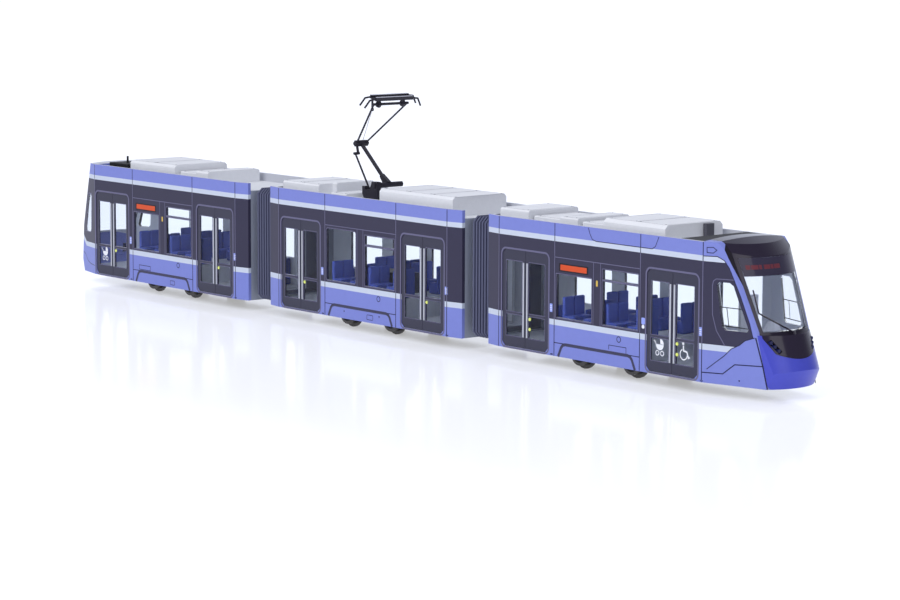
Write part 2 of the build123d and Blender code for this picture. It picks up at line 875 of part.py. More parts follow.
rear_gear = [
    RoofBox(-22.5, 3.0, -10.2, 10.2, 4.9, 0.8),
    RoofBox(3.8, 14.0, -8.5, 8.5, 3.0, 0.3),
    RoofBox(14.6, 21.2, -10.0, 10.0, 4.0, 0.5),
]


def roof_gear(section, boxes):
    with BuildPart() as gear:
        for box in boxes:
            high = roof_height + box.rise
            with BuildSketch(end_plane(section.x + box.x0)):
                Polygon(
                    (box.y0, roof_height), (box.y1, roof_height), (box.y1, high - box.bevel),
                    (box.y1 - box.bevel, high), (box.y0 + box.bevel, high), (box.y0, high - box.bevel),
                    align=None,
                )
            extrude(amount=box.x1 - box.x0)
    return gear.part


with BuildPart() as roof_cover:
    with BuildSketch(deck(front_x, roof_height)):
        with Locations((cab_seam - fit - cover_length / 2, 0)):
            Rectangle(cover_length, body_width - 2 * wall - 2 * fit)
    extrude(amount=parapet_depth)

with BuildPart() as aerial:
    with BuildSketch(deck(rear_x, roof_height)):
        with Locations(((aerial_x0 + aerial_x1) / 2, (aerial_y0 + aerial_y1) / 2)):
            Rectangle(aerial_x1 - aerial_x0, aerial_y1 - aerial_y0)
    extrude(amount=aerial_rise)
    with BuildSketch(deck(rear_x, roof_height)):
        with Locations((aerial_rod_x, aerial_rod_y)):
            RegularPolygon(aerial_rod_radius, bar_sides)
    extrude(amount=aerial_rod_rise)

with BuildPart() as front_post:
    with BuildSketch(deck(front_x, roof_height)):
        with Locations(((post_x0 + post_x1) / 2, (post_y0 + post_y1) / 2)):
            Rectangle(post_x1 - post_x0, post_y1 - post_y0)
    extrude(amount=post_rise)

# Wheel discs on one half of an axle: distances from the centreline and radius
Disc = namedtuple("Disc", "inner outer radius")
back_y = wheel_back_to_back / 2
face_y = back_y + tyre_width
wheel_discs = [
    Disc(back_y, back_y + flange_width, tread_radius + flange_height),
    Disc(back_y + flange_width, face_y, tread_radius),
]


def wheelset(x):
    axle = Plane(origin=(x, 0, axle_z), x_dir=(1, 0, 0), z_dir=(0, -1, 0))
    with BuildPart() as pair:
        with BuildSketch(axle):
            Circle(axle_radius)
        extrude(amount=back_y, both=True)
        for disc in wheel_discs:
            for side in (-1, 1):
                with BuildSketch(axle.offset(side * disc.inner)):
                    RegularPolygon(disc.radius, wheel_sides)
                extrude(amount=side * (disc.outer - disc.inner))
    return pair.part


def bogie_frame(x):
    """Inside frame between the wheels, with a bolster up to the floor and holes for pin and axles."""
    with BuildPart() as frame:
        with BuildSketch(Plane((x, 0, axle_z + bogie_low))):
            Rectangle(wheelbase + 2 * bogie_end, 2 * bogie_half_width)
            with Locations((-wheelbase / 2, 0), (wheelbase / 2, 0)):
                Rectangle(axle_bay, 2 * (bogie_half_width - bogie_beam_width), mode=Mode.SUBTRACT)
        extrude(amount=bogie_high - bogie_low)
        with BuildSketch(Plane((x, 0, axle_z + bogie_high))):
            Rectangle(2 * bolster_half, 2 * bogie_half_width)
        extrude(amount=level(raised_floor_height) - bogie_gap - axle_z - bogie_high)
        with BuildSketch(Plane((x, 0, axle_z + bogie_low))):
            RegularPolygon(pivot_pin_radius + fit, pin_sides, major_radius=False)
        extrude(amount=level(raised_floor_height) - axle_z - bogie_low, mode=Mode.SUBTRACT)
        with BuildSketch(Plane(origin=(x, 0, axle_z), x_dir=(1, 0, 0), z_dir=(0, -1, 0))):
            with Locations((-wheelbase / 2, 0), (wheelbase / 2, 0)):
                RegularPolygon(axle_radius + fit, bar_sides, major_radius=False)
        extrude(amount=bogie_half_width, both=True, mode=Mode.SUBTRACT)
    return frame.part


# Motor on the middle section's raised floor, between the benches
with BuildPart() as motor:
    with BuildSketch(deck(middle_x, raised_top)):
        Rectangle(motor_length, motor_width)
    extrude(amount=motor_height)


def cross_plane(x, y, height):
    """Plane across the tram at a pivot of the pantograph; its normal is -Y."""
    return Plane(origin=(middle_x + x, y, level(height)), x_dir=(1, 0, 0), z_dir=(0, -1, 0))


def cross_pin(x, height, radius, y0, y1):
    """Round pin across the tram from y0 to y1."""
    with BuildPart() as pin:
        with BuildSketch(cross_plane(x, y1, height)):
            Circle(radius)
        extrude(amount=y1 - y0)
    return pin.part


def cross_bore(x, height, pin):
    """Bore for a pin of that radius, right across the tram."""
    with BuildPart() as bore:
        with BuildSketch(cross_plane(x, half_width, height)):
            RegularPolygon(pin + fit, pin_sides, major_radius=False)
        extrude(amount=body_width)
    return bore.part


def cross_eye(x, height, radius, y0, y1):
    """Six-sided eye across the tram from y0 to y1."""
    with BuildPart() as eye:
        with BuildSketch(cross_plane(x, y1, height)):
            RegularPolygon(radius, bar_sides, major_radius=False)
        extrude(amount=y1 - y0)
    return eye.part


# Block on the near side with a dip between the shaft and the foot of the tie rod
base_outline = [
    (pantograph_x + base_front, roof_height), (pantograph_x + base_front, pivot_height + base_top),
    (pantograph_x - base_front, pivot_height + base_top), (pantograph_x - base_step, base_dip_height),
    (tie_rod_x + tie_lug_half, base_dip_height), (tie_rod_x + tie_lug_half, tie_height + tie_lug_top),
    (tie_rod_x - tie_lug_half, tie_height + tie_lug_top), (tie_rod_x - tie_lug_half, tie_height - tie_lug_half),
    (tie_rod_x + tie_lug_half, roof_height),
]
with BuildPart() as pantograph_base:
    with BuildSketch(side_plane(middle_x, -1, -base_y1)):
        Polygon(*base_outline, align=None)
    extrude(amount=base_y1 - base_y0)
    add(cross_bore(pantograph_x, pivot_height, shaft_radius), mode=Mode.SUBTRACT)
    add(cross_pin(tie_rod_x, tie_height, pin_radius, base_y1 - wall, tie_rod_y + eye_half_length))

# Lower arm: shaft, foot that widens towards the shaft, bar and knee eye
arm_length = hypot(knee_x - pantograph_x, knee_height - pivot_height)
arm_way = ((knee_x - pantograph_x) / arm_length, (knee_height - pivot_height) / arm_length)


def beside_arm(distance, offset):
    """Point along the lower arm from its pivot, moved sideways by the offset."""
    return (
        pantograph_x + arm_way[0] * distance - arm_way[1] * offset,
        pivot_height + arm_way[1] * distance + arm_way[0] * offset,
    )


with BuildPart() as pantograph_lower_arm:
    add(cross_pin(pantograph_x, pivot_height, shaft_radius, -shaft_near, shaft_far))
    with BuildSketch(side_plane(middle_x, -1, foot_half_depth)):
        Polygon(
            beside_arm(0, -foot_half_width), beside_arm(0, foot_half_width),
            beside_arm(foot_length, arm_radius), beside_arm(foot_length, -arm_radius), align=None,
        )
    extrude(amount=-2 * foot_half_depth)
    add(bar_between(middle_x, (pantograph_x, 0, pivot_height), (knee_x, 0, knee_height), arm_radius))
    add(cross_eye(knee_x, knee_height, eye_radius, -knee_half_width, knee_half_width))
    add(cross_bore(knee_x, knee_height, pin_radius), mode=Mode.SUBTRACT)

cheek_inner = knee_half_width + cheek_gap
cheek_outer = cheek_inner + cheek
cheek_middle = (cheek_inner + cheek_outer) / 2
with BuildPart() as pantograph_upper_arm:
    add(cross_pin(knee_x, knee_height, pin_radius, -cheek_outer, cheek_outer))
    for side in (-1, 1):
        ends = sorted((side * cheek_inner, side * cheek_outer))
        add(cross_eye(knee_x, knee_height, eye_radius, *ends))
        add(bar_between(middle_x, (knee_x, side * cheek_middle, knee_height),
                        (head_x, side * rod_top_y, head_shaft_height), rod_radius))
    add(bar_between(middle_x, (knee_x, -cheek_middle, knee_height),
                    (tie_rod_top_x, -cheek_middle, tie_top_height), pin_radius))
    add(cross_pin(head_x, head_shaft_height, pin_radius, -rod_top_y - rod_radius, rod_top_y + rod_radius))

with BuildPart() as pantograph_tie_rod:
    add(cross_eye(tie_rod_x, tie_height, eye_radius, tie_rod_y - eye_half_length, tie_rod_y + eye_half_length))
    add(bar_between(middle_x, (tie_rod_x, tie_rod_y, tie_height),
                    (tie_rod_top_x, tie_rod_y, tie_top_height), rod_radius))
    add(cross_bore(tie_rod_x, tie_height, pin_radius), mode=Mode.SUBTRACT)

# Head: two contact strips with a horn at each end, two cross bars with eyes, two end bars
end_bar_y = head_half_width - head_bar_width / 2
horn_height = head_height + strip_height / 2
with BuildPart() as pantograph_head:
    with BuildSketch(deck(middle_x, head_height)):
        for x in (head_x - head_strip_spacing / 2, head_x + head_strip_spacing / 2):
            with Locations((x, 0)):
                Rectangle(strip_width, 2 * head_half_width)
    extrude(amount=strip_height)
    with BuildSketch(deck(middle_x, head_height)):
        for y in (-end_bar_y, -head_eye_y, head_eye_y, end_bar_y):
            with Locations((head_x, y)):
                Rectangle(head_strip_spacing, head_bar_width)
    extrude(amount=strip_height / 2)
    for y in (-head_eye_y, head_eye_y):
        with BuildSketch(cross_plane(head_x, y, head_shaft_height)):
            RegularPolygon(eye_radius, bar_sides, major_radius=False)
            with Locations((0, head_pivot_drop / 2)):
                Rectangle(2 * pin_radius, head_pivot_drop)
        extrude(amount=head_bar_width / 2, both=True)
    for x in (head_x - head_strip_spacing / 2, head_x + head_strip_spacing / 2):
        for side in (-1, 1):
            bend = (x, side * horn_bend_y, horn_height - horn_bend_drop)
            add(bar_between(middle_x, (x, side * end_bar_y, horn_height), bend, horn_radius))
            add(bar_between(middle_x, bend, (x, side * horn_end_y, horn_height - horn_end_drop), horn_radius))
    add(cross_bore(head_x, head_shaft_height, pin_radius), mode=Mode.SUBTRACT)

with BuildPart() as middle_gangway_frames:
    add(end_frame_plate(middle, 1, True))
    add(end_frame_plate(middle, -1, False))

pieces = {}
for section in sections:
    pieces[f"{section.name}_wall_right"] = side_wall(section, -1)
    pieces[f"{section.name}_wall_left"] = side_wall(section, 1)
    pieces[f"{section.name}_roof"] = roof_panel(section)
    pieces[f"{section.name}_doors"] = doors(section)
    pieces[f"{section.name}_seats"] = seats(section)
    pieces[f"{section.name}_bogie_frame"] = bogie_frame(section.x)
    pieces[f"{section.name}_wheelset_leading"] = wheelset(section.x + wheelbase / 2)
    pieces[f"{section.name}_wheelset_trailing"] = wheelset(section.x - wheelbase / 2)

pieces["front_floor"] = floor_pan(front, shell_floor(front, nose, cab_floor_reach))
pieces["middle_floor"] = floor_pan(middle)
pieces["rear_floor"] = floor_pan(rear, shell_floor(rear, tail, tail_floor_reach))
pieces["front_glazing"] = front_glazing.part
pieces["middle_glazing"] = glazing(middle)
pieces["rear_glazing"] = rear_glazing.part
pieces["front_gangway_frame"] = end_frame_plate(front, -1, False)
pieces["middle_gangway_frames"] = middle_gangway_frames.part
pieces["rear_gangway_frame"] = end_frame_plate(rear, 1, True)
pieces["front_bellows"] = bellows(front_x - section_half_length)
pieces["middle_bellows"] = bellows(middle_x - section_half_length)
pieces["front_roof_gear"] = roof_gear(front, front_gear)
pieces["middle_roof_gear"] = roof_gear(middle, middle_gear)
pieces["rear_roof_gear"] = roof_gear(rear, rear_gear)
pieces["front_roof_cover"] = roof_cover.part
pieces["front_cab_shell"] = cab_shell.part
pieces["front_apron"] = apron.part
pieces["front_mask"] = mask.part
pieces["front_windscreen"] = windscreen.part
pieces["front_lamps"] = front_lamps.part
pieces["front_wiper"] = wiper.part
pieces["front_cab_fittings"] = cab_fittings.part
pieces["rear_tail_shell"] = tail_shell.part
pieces["rear_window"] = rear_window.part
pieces["rear_lamps"] = rear_lamps.part
pieces["rear_aerial"] = aerial.part
pieces["front_post"] = front_post.part
pieces["motor"] = motor.part
pieces["pantograph_base"] = pantograph_base.part
pieces["pantograph_lower_arm"] = pantograph_lower_arm.part
pieces["pantograph_upper_arm"] = pantograph_upper_arm.part
pieces["pantograph_tie_rod"] = pantograph_tie_rod.part
head_axis = Axis((middle_x + head_x, 0, level(head_shaft_height)), (0, 1, 0))
pieces["pantograph_head"] = pantograph_head.part.rotate(head_axis, head_tilt)

os.makedirs("parts", exist_ok=True)
for name, part in pieces.items():
    part.label = name
    export_step(part, f"parts/{name}.step")
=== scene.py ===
# %% [markdown]
# Dressing a model tram in Blender. The solids of the tram come in as a fixed frame, in metres, with +X
# towards the driver's cab, -Y on the side with the doors and +Z up. This lesson gives every solid its
# finish, adds the printed lines and small trim, and lights the model like a product picture. Sizes are
# written in millimetres, as a model maker has them, and mm turns them into Blender's metres.

# %% Load the frame
import math

import bmesh
import bpy
from mathutils import Matrix, Vector


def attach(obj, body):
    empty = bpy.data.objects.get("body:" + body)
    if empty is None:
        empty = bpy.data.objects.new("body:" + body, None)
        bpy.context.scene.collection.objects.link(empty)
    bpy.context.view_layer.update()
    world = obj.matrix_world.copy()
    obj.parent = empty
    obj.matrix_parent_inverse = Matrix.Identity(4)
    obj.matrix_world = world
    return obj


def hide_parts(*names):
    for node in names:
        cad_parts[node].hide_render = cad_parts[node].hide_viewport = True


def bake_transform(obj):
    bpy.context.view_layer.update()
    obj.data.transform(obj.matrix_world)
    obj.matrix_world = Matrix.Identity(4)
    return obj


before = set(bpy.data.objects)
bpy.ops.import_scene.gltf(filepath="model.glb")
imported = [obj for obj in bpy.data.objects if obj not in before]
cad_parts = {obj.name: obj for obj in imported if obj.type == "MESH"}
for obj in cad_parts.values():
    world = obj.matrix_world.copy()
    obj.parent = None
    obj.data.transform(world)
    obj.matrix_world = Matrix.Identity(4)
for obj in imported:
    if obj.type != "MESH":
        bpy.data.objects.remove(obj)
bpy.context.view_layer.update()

mm = 0.001

# %% [markdown]
# The camera looks at the cab and the door side from above the roof. It could be set by eye. Its place was
# fitted to the panel seams instead, together with the length of a section, so that the picture has the
# same perspective as the real view. A long lens keeps the three sections nearly the same size.

# %% Camera
camera_azimuth = math.radians(50.514)
camera_elevation = math.radians(7.574)
camera_roll = math.radians(0.211)
camera_place = Vector((684.78, -547.16, 125.55)) * mm
lens_mm = 119.48


def camera_axes():
    """Right, up and back directions of the camera."""
    level = math.cos(camera_elevation)
    sine, cosine = math.sin(camera_azimuth), math.cos(camera_azimuth)
    back = Vector((sine * level, -cosine * level, math.sin(camera_elevation)))
    right = Vector((cosine, sine, 0))
    up = back.cross(right)
    turn = Matrix.Rotation(camera_roll, 3, back)
    return turn @ right, turn @ up, back


def add_camera():
    data = bpy.data.cameras.new("camera")
    data.lens = lens_mm
    data.sensor_width = 36
    data.sensor_fit = "HORIZONTAL"
    data.clip_start = 0.01
    data.clip_end = 20
    camera = bpy.data.objects.new("camera", data)
    bpy.context.scene.collection.objects.link(camera)
    turn = Matrix(camera_axes()).transposed().to_4x4()
    camera.matrix_world = Matrix.Translation(camera_place) @ turn
    bpy.context.scene.camera = camera
    return camera


add_camera()
print("camera at", tuple(round(value, 4) for value in camera_place))

# %% [markdown]
# A few helpers come first. Shaders take linear colours, while a colour is usually read from a screen, so
# srgb turns one into the other. A mesh is built as a bmesh and becomes an object at the origin. The node
# helpers let a finish be written like a formula and not node by node: an input may be a number, a colour
# or another node's output.

# %% Helpers for meshes and materials
scene = bpy.context.scene
scene.view_settings.view_transform = "Standard"


def srgb(red, green, blue):
    """Colour as read from a screen, 0 to 255, turned into the linear values that shaders take."""
    values = []
    for channel in (red, green, blue):
        share = channel / 255
        values.append(share / 12.92 if share <= 0.04045 else ((share + 0.055) / 1.055) ** 2.4)
    return (*values, 1.0)


def new_mesh_object(name, bm):
    mesh = bpy.data.meshes.new(name)
    bm.to_mesh(mesh)
    bm.free()
    piece = bpy.data.objects.new(name, mesh)
    scene.collection.objects.link(piece)
    return piece


def node_tree(name):
    material = bpy.data.materials.new(name)
    material.use_nodes = True
    return material, material.node_tree, material.node_tree.nodes["Principled BSDF"]


def feed(tree, value, socket):
    """Link another node's output to the socket, or give the socket a plain value."""
    if isinstance(value, bpy.types.NodeSocket):
        tree.links.new(value, socket)
    else:
        socket.default_value = value


def math_node(tree, operation, first, second):
    """Output of a Math node; each input is a socket or a number."""
    node = tree.nodes.new("ShaderNodeMath")
    node.operation = operation
    for value, socket in zip((first, second), node.inputs):
        feed(tree, value, socket)
    return node.outputs[0]


def mixed(tree, factor, first, second, blend="MIX"):
    """The first colour at factor 0, its blend with the second at 1; each is a socket or a value."""
    mix = tree.nodes.new("ShaderNodeMix")
    mix.data_type = "RGBA"
    mix.blend_type = blend
    for value, name in ((factor, "Factor"), (first, "A"), (second, "B")):
        feed(tree, value, mix.inputs[name])
    return mix.outputs["Result"]


# %% [markdown]
# A product picture has a white sweep behind the model. A curved wall could make it, but it would stand in
# the way of other views, so the world does. The world is white to the camera and through glass. What shines
# on the model mirrors the white sweep behind it and a dim room in front, as in a studio, and the light
# that the world casts is soft.

# %% Studio world
soft_level, dim_front = 0.5, 0.15
sweep_start, sweep_end = 0.2, 0.85
sky_tint = srgb(226, 232, 250)


def make_world():
    world = bpy.data.worlds.new("studio")
    scene.world = world
    world.use_nodes = True
    tree = world.node_tree
    light_path = tree.nodes.new("ShaderNodeLightPath").outputs
    seen = math_node(tree, "MAXIMUM", light_path["Is Camera Ray"], light_path["Is Transmission Ray"])
    away = tree.nodes.new("ShaderNodeVectorMath")
    away.operation = "DOT_PRODUCT"
    away.inputs[1].default_value = (-math.sin(camera_azimuth), math.cos(camera_azimuth), 0)
    tree.links.new(tree.nodes.new("ShaderNodeTexCoord").outputs["Generated"], away.inputs[0])
    sweep = tree.nodes.new("ShaderNodeMapRange")
    sweep.interpolation_type = "SMOOTHSTEP"
    for name, value in (("From Min", sweep_start), ("From Max", sweep_end), ("To Min", dim_front)):
        sweep.inputs[name].default_value = value
    tree.links.new(away.outputs["Value"], sweep.inputs["Value"])
    beyond_soft = math_node(tree, "SUBTRACT", sweep.outputs["Result"], soft_level)
    mirrored = math_node(tree, "MULTIPLY", light_path["Is Glossy Ray"], beyond_soft)
    unseen = math_node(tree, "ADD", mirrored, soft_level)
    rest = math_node(tree, "MULTIPLY", seen, math_node(tree, "SUBTRACT", 1.0, unseen))
    background = tree.nodes["Background"]
    tree.links.new(math_node(tree, "ADD", unseen, rest), background.inputs["Strength"])
    tree.links.new(mixed(tree, seen, sky_tint, (1, 1, 1, 1)), background.inputs["Color"])


make_world()
print("world:", scene.world.name)

# %% [markdown]
# The floor is one wide plate, a little glossy so that the model mirrors faintly in it, and it glows a
# little so that it stays pale. The lamps are large round areas, because small ones would throw hard
# shadows on the flat sides.

# %% Floor and lamps
floor_size, floor_glow = 6.0, 0.38


def make_floor():
    bm = bmesh.new()
    bmesh.ops.create_grid(bm, x_segments=1, y_segments=1, size=floor_size)
    floor = new_mesh_object("floor", bm)
    material, _, shader = node_tree("pale_floor")
    shader.inputs["Base Color"].default_value = srgb(246, 248, 254)
    shader.inputs["Roughness"].default_value = 0.12
    shader.inputs["Specular IOR Level"].default_value = 0.3
    shader.inputs["Emission Color"].default_value = (1, 1, 1, 1)
    shader.inputs["Emission Strength"].default_value = floor_glow
    floor.data.materials.append(material)
    return floor


def add_lamp(name, place, aim, size, watts):
    data = bpy.data.lights.new(name, "AREA")
    data.shape = "DISK"
    data.size = size
    data.energy = watts
    lamp = bpy.data.objects.new(name, data)
    scene.collection.objects.link(lamp)
    lamp.location = place
    lamp.rotation_euler = (Vector(aim) - Vector(place)).to_track_quat("-Z", "Y").to_euler()
    return lamp


make_floor()
add_lamp("side_softbox", (0.15, -1.1, 0.75), (0, 0, 0.02), 0.9, 7)
add_lamp("top_softbox", (-0.2, 0.1, 1.3), (0, 0, 0), 1.2, 5.5)
add_lamp("front_fill", (1.3, -0.25, 0.5), (0.1, 0, 0.02), 0.7, 2)

# %% [markdown]
# Nearly every finish on the model is moulded or painted plastic. One flat colour would look drawn, and an
# image would have to be fitted to each piece. One recipe makes them all instead: a colour, a fine mottle
# that changes the colour a little, and a fine bump that breaks the reflection, both on Object coordinates
# so that they stay put on the piece.

# %% The recipe for plastic
def object_coordinates(tree):
    return tree.nodes.new("ShaderNodeTexCoord").outputs["Object"]


def surface_normal(tree):
    return tree.nodes.new("ShaderNodeTexCoord").outputs["Normal"]


def split_vector(tree, vector):
    """Outputs X, Y and Z of a vector."""
    node = tree.nodes.new("ShaderNodeSeparateXYZ")
    tree.links.new(vector, node.inputs[0])
    return node.outputs


def noise_value(tree, coordinates, scale, detail=2.0):
    noise = tree.nodes.new("ShaderNodeTexNoise")
    noise.inputs["Scale"].default_value = scale
    noise.inputs["Detail"].default_value = detail
    tree.links.new(coordinates, noise.inputs["Vector"])
    return noise.outputs["Fac"]


def mottled(tree, colour, coordinates, scale, amount):
    """The colour, made up to amount lighter and darker by a noise."""
    spread = tree.nodes.new("ShaderNodeMapRange")
    spread.inputs["To Min"].default_value = 1 - amount
    spread.inputs["To Max"].default_value = 1 + amount
    tree.links.new(noise_value(tree, coordinates, scale), spread.inputs["Value"])
    return mixed(tree, 1.0, colour, spread.outputs["Result"], "MULTIPLY")


def fine_bump(tree, shader, coordinates, scale, strength, distance=0.00002):
    bump = tree.nodes.new("ShaderNodeBump")
    bump.inputs["Strength"].default_value = strength
    bump.inputs["Distance"].default_value = distance
    tree.links.new(noise_value(tree, coordinates, scale, 3.0), bump.inputs["Height"])
    tree.links.new(bump.outputs["Normal"], shader.inputs["Normal"])


def coat(tree, shader, coordinates, colour, roughness, mirror, amount=0.03, scale=700, grain=6000,
         bump=0.08):
    """Mottled colour, gloss and fine bump on one shader."""
    tree.links.new(mottled(tree, colour, coordinates, scale, amount), shader.inputs["Base Color"])
    shader.inputs["Roughness"].default_value = roughness
    shader.inputs["Specular IOR Level"].default_value = mirror
    fine_bump(tree, shader, coordinates, grain, bump)


def plastic(name, colour, roughness, bump=0.25, amount=0.04, metallic=0.0, mirror=0.25):
    material, tree, shader = node_tree(name)
    coat(tree, shader, object_coordinates(tree), colour, roughness, mirror, amount, scale=900, bump=bump)
    shader.inputs["Metallic"].default_value = metallic
    return material


# %% [markdown]
# The plain pieces differ in colour and gloss. The mask round the windscreen is the glossiest of them and has
# no bump, and the wheels and the motor block are bare metal.

# %% Plain finishes
side_blue = srgb(124, 134, 206)
# The apron's blue is the side blue painted darker: painted shade on the front of the nose.
shaded_nose_blue = srgb(74, 80, 190)
anthracite = srgb(56, 54, 76)
stripe_grey = srgb(200, 208, 224)
inside_grey = srgb(222, 227, 240)
floor_grey = srgb(196, 200, 214)
chassis_black = srgb(34, 34, 38)
# The back of the wall above the roof is painted darker than the inside: painted shade.
shaded_parapet_grey = srgb(196, 198, 206)

finish = {
    "roof_grey": plastic("roof_grey", srgb(224, 226, 230), 0.55),
    "gear_grey": plastic("gear_grey", srgb(232, 233, 237), 0.5),
    "underframe_black": plastic("underframe_black", chassis_black, 0.6),
    "bellows_grey": plastic("bellows_grey", srgb(88, 91, 116), 0.75),
    "seat_blue": plastic("seat_blue", srgb(70, 86, 172), 0.55),
    "fitting_grey": plastic("fitting_grey", srgb(200, 204, 218), 0.5),
    "mask_black": plastic("mask_black", srgb(44, 38, 54), 0.14, bump=0.0, mirror=0.35),
    # The apron's finish is the side blue made darker as painted shade.
    "shaded_nose_blue": plastic("shaded_nose_blue", shaded_nose_blue, 0.28, bump=0.05),
    "pantograph_black": plastic("pantograph_black", srgb(44, 42, 52), 0.45),
    "wheel_steel": plastic("wheel_steel", srgb(92, 90, 90), 0.4, metallic=1.0),
    "frame_grey": plastic("frame_grey", srgb(150, 156, 172), 0.6),
    "post_grey": plastic("post_grey", srgb(88, 88, 98), 0.5),
    "motor_metal": plastic("motor_metal", srgb(120, 120, 124), 0.4, metallic=1.0),
}
print("plain finishes:", len(finish))

# %% [markdown]
# The sides carry five level bands: blue skirt, pale stripe, dark window band, pale stripe, blue roof
# edge. They could be cut into the walls as faces of their own. Here the height of a point decides its
# band: one colour ramp on the Object coordinate's Z paints all the walls in register, with no cut.

# %% Bands by height
skirt = 3.2
band_edges = [8.5, 10.0, 31.5, 32.8]
band_top = 36.5
bands = [side_blue, stripe_grey, anthracite, stripe_grey, side_blue]


def band_ramp(tree, coordinates, colours, edges):
    """Colours stacked by height above the skirt, changing at the edges."""
    height = tree.nodes.new("ShaderNodeMapRange")
    height.inputs["From Min"].default_value = skirt * mm
    height.inputs["From Max"].default_value = (skirt + band_top) * mm
    tree.links.new(split_vector(tree, coordinates)["Z"], height.inputs["Value"])
    ramp = tree.nodes.new("ShaderNodeValToRGB")
    ramp.color_ramp.interpolation = "CONSTANT"
    ramp.color_ramp.elements[0].color = colours[0]
    ramp.color_ramp.elements[1].position = edges[0] / band_top
    ramp.color_ramp.elements[1].color = colours[1]
    for edge, colour in zip(edges[1:], colours[2:]):
        element = ramp.color_ramp.elements.new(edge / band_top)
        element.color = colour
    tree.links.new(height.outputs["Result"], ramp.inputs["Fac"])
    return ramp.outputs["Color"]


print("bands:", len(bands))

# %% [markdown]
# A wall is painted on the outside only. Its inside is pale grey up to the roof, and above the roof the
# back of the wall is painted a darker grey, which is painted shade. Two materials on one solid would
# need its faces sorted, so the normal tells the sides apart: on the outside it points away from the
# middle of the tram.

# %% Painted walls
roof_line = 33.9
outer_limit, end_limit = 0.1, 0.3


def faces_outwards(tree, coordinates):
    """1 where a wall's face looks away from the middle of the tram or along it, 0 on the inside."""
    facing = split_vector(tree, surface_normal(tree))
    sideways = math_node(tree, "MULTIPLY", split_vector(tree, coordinates)["Y"], facing["Y"])
    outer = math_node(tree, "GREATER_THAN", sideways, outer_limit * mm)
    along = math_node(tree, "ABSOLUTE", facing["X"], 0)
    end_face = math_node(tree, "GREATER_THAN", along, end_limit)
    return math_node(tree, "MAXIMUM", outer, end_face)


def wall_finish(tree, shader, coordinates, outside):
    """The given colour outside; inside, pale grey up to the roof and above it a darker grey as painted
    shade.
    """
    inside = band_ramp(tree, coordinates, [inside_grey, shaded_parapet_grey], [roof_line])
    colour = mixed(tree, faces_outwards(tree, coordinates), inside, outside)
    coat(tree, shader, coordinates, colour, roughness=0.36, mirror=0.22)


def side_paint():
    material, tree, shader = node_tree("side_paint")
    coordinates = object_coordinates(tree)
    wall_finish(tree, shader, coordinates, band_ramp(tree, coordinates, bands, band_edges))
    return material


finish["side_paint"] = side_paint()
print("painted:", "side_paint")

# %% [markdown]
# The cab breaks the bands: a blue post runs down beside the windscreen, all ahead of it is black, and blue
# rises below the side window in a wedge. Cutting such edges into the shell would take many small faces.
# Each edge is a bent line instead, and a point's colour follows from which side of the lines it is on.

# %% Cab paint
centre_x = {"front": 98.35, "middle": -5.05, "rear": -108.45}
post_left = [(12.95, 55.43), (16.53, 54.36), (23.36, 51.55), (30.16, 48.24), (32.1, 46.69), (32.97, 44.65)]
post_right = [(13.13, 57.1), (19.59, 55.2), (28.3, 50.35), (33.65, 47.35), (36.2, 45.95)]
wedge_edge = [(41.94, 3.61), (47.13, 7.56), (49.12, 9.53), (51.46, 10.65), (53.11, 11.99), (55.93, 12.99),
              (57.4, 13.1)]
screen_black = srgb(30, 26, 36)


def bent_line(tree, value, points):
    """Output of a line through the points (input, output), in millimetres, at the socket's value."""
    inputs, outputs = zip(*points)
    low, high = min(outputs), max(outputs)
    place = tree.nodes.new("ShaderNodeMapRange")
    place.inputs["From Min"].default_value = inputs[0] * mm
    place.inputs["From Max"].default_value = inputs[-1] * mm
    tree.links.new(value, place.inputs["Value"])
    ramp = tree.nodes.new("ShaderNodeValToRGB")
    ramp.color_ramp.interpolation = "LINEAR"
    while len(ramp.color_ramp.elements) < len(points):
        ramp.color_ramp.elements.new(1.0)
    for element, (x, y) in zip(ramp.color_ramp.elements, points):
        level = (y - low) / (high - low)
        element.position = (x - inputs[0]) / (inputs[-1] - inputs[0])
        element.color = (level, level, level, 1)
    tree.links.new(place.outputs["Result"], ramp.inputs["Fac"])
    back = tree.nodes.new("ShaderNodeMapRange")
    back.inputs["To Min"].default_value = low * mm
    back.inputs["To Max"].default_value = high * mm
    tree.links.new(ramp.outputs["Color"], back.inputs["Value"])
    return back.outputs["Result"]


def section_place(tree, coordinates, section):
    """Sockets for x from the section's centre and height above the skirt."""
    place = split_vector(tree, coordinates)
    along = math_node(tree, "SUBTRACT", place["X"], centre_x[section] * mm)
    return along, math_node(tree, "SUBTRACT", place["Z"], skirt * mm)


def cab_paint():
    material, tree, shader = node_tree("cab_paint")
    coordinates = object_coordinates(tree)
    along, height = section_place(tree, coordinates, "front")
    colour = band_ramp(tree, coordinates, bands, band_edges)
    below = math_node(tree, "LESS_THAN", height, bent_line(tree, along, wedge_edge))
    colour = mixed(tree, below, colour, side_blue)
    for edge, paint in ((post_left, side_blue), (post_right, screen_black)):
        ahead = math_node(tree, "GREATER_THAN", along, bent_line(tree, height, edge))
        high = math_node(tree, "GREATER_THAN", height, edge[0][0] * mm)
        colour = mixed(tree, math_node(tree, "MULTIPLY", ahead, high), colour, paint)
    wall_finish(tree, shader, coordinates, colour)
    return material


finish["cab_paint"] = cab_paint()
print("painted:", "cab_paint")

# %% [markdown]
# On the tail the bands rise to the rear. A second set of bands isn't needed for it: the same ramp is read
# at a height that sinks towards the end, so that the colours climb.

# %% Tail paint
tail_rise_x, tail_rise = -48.0, 0.75


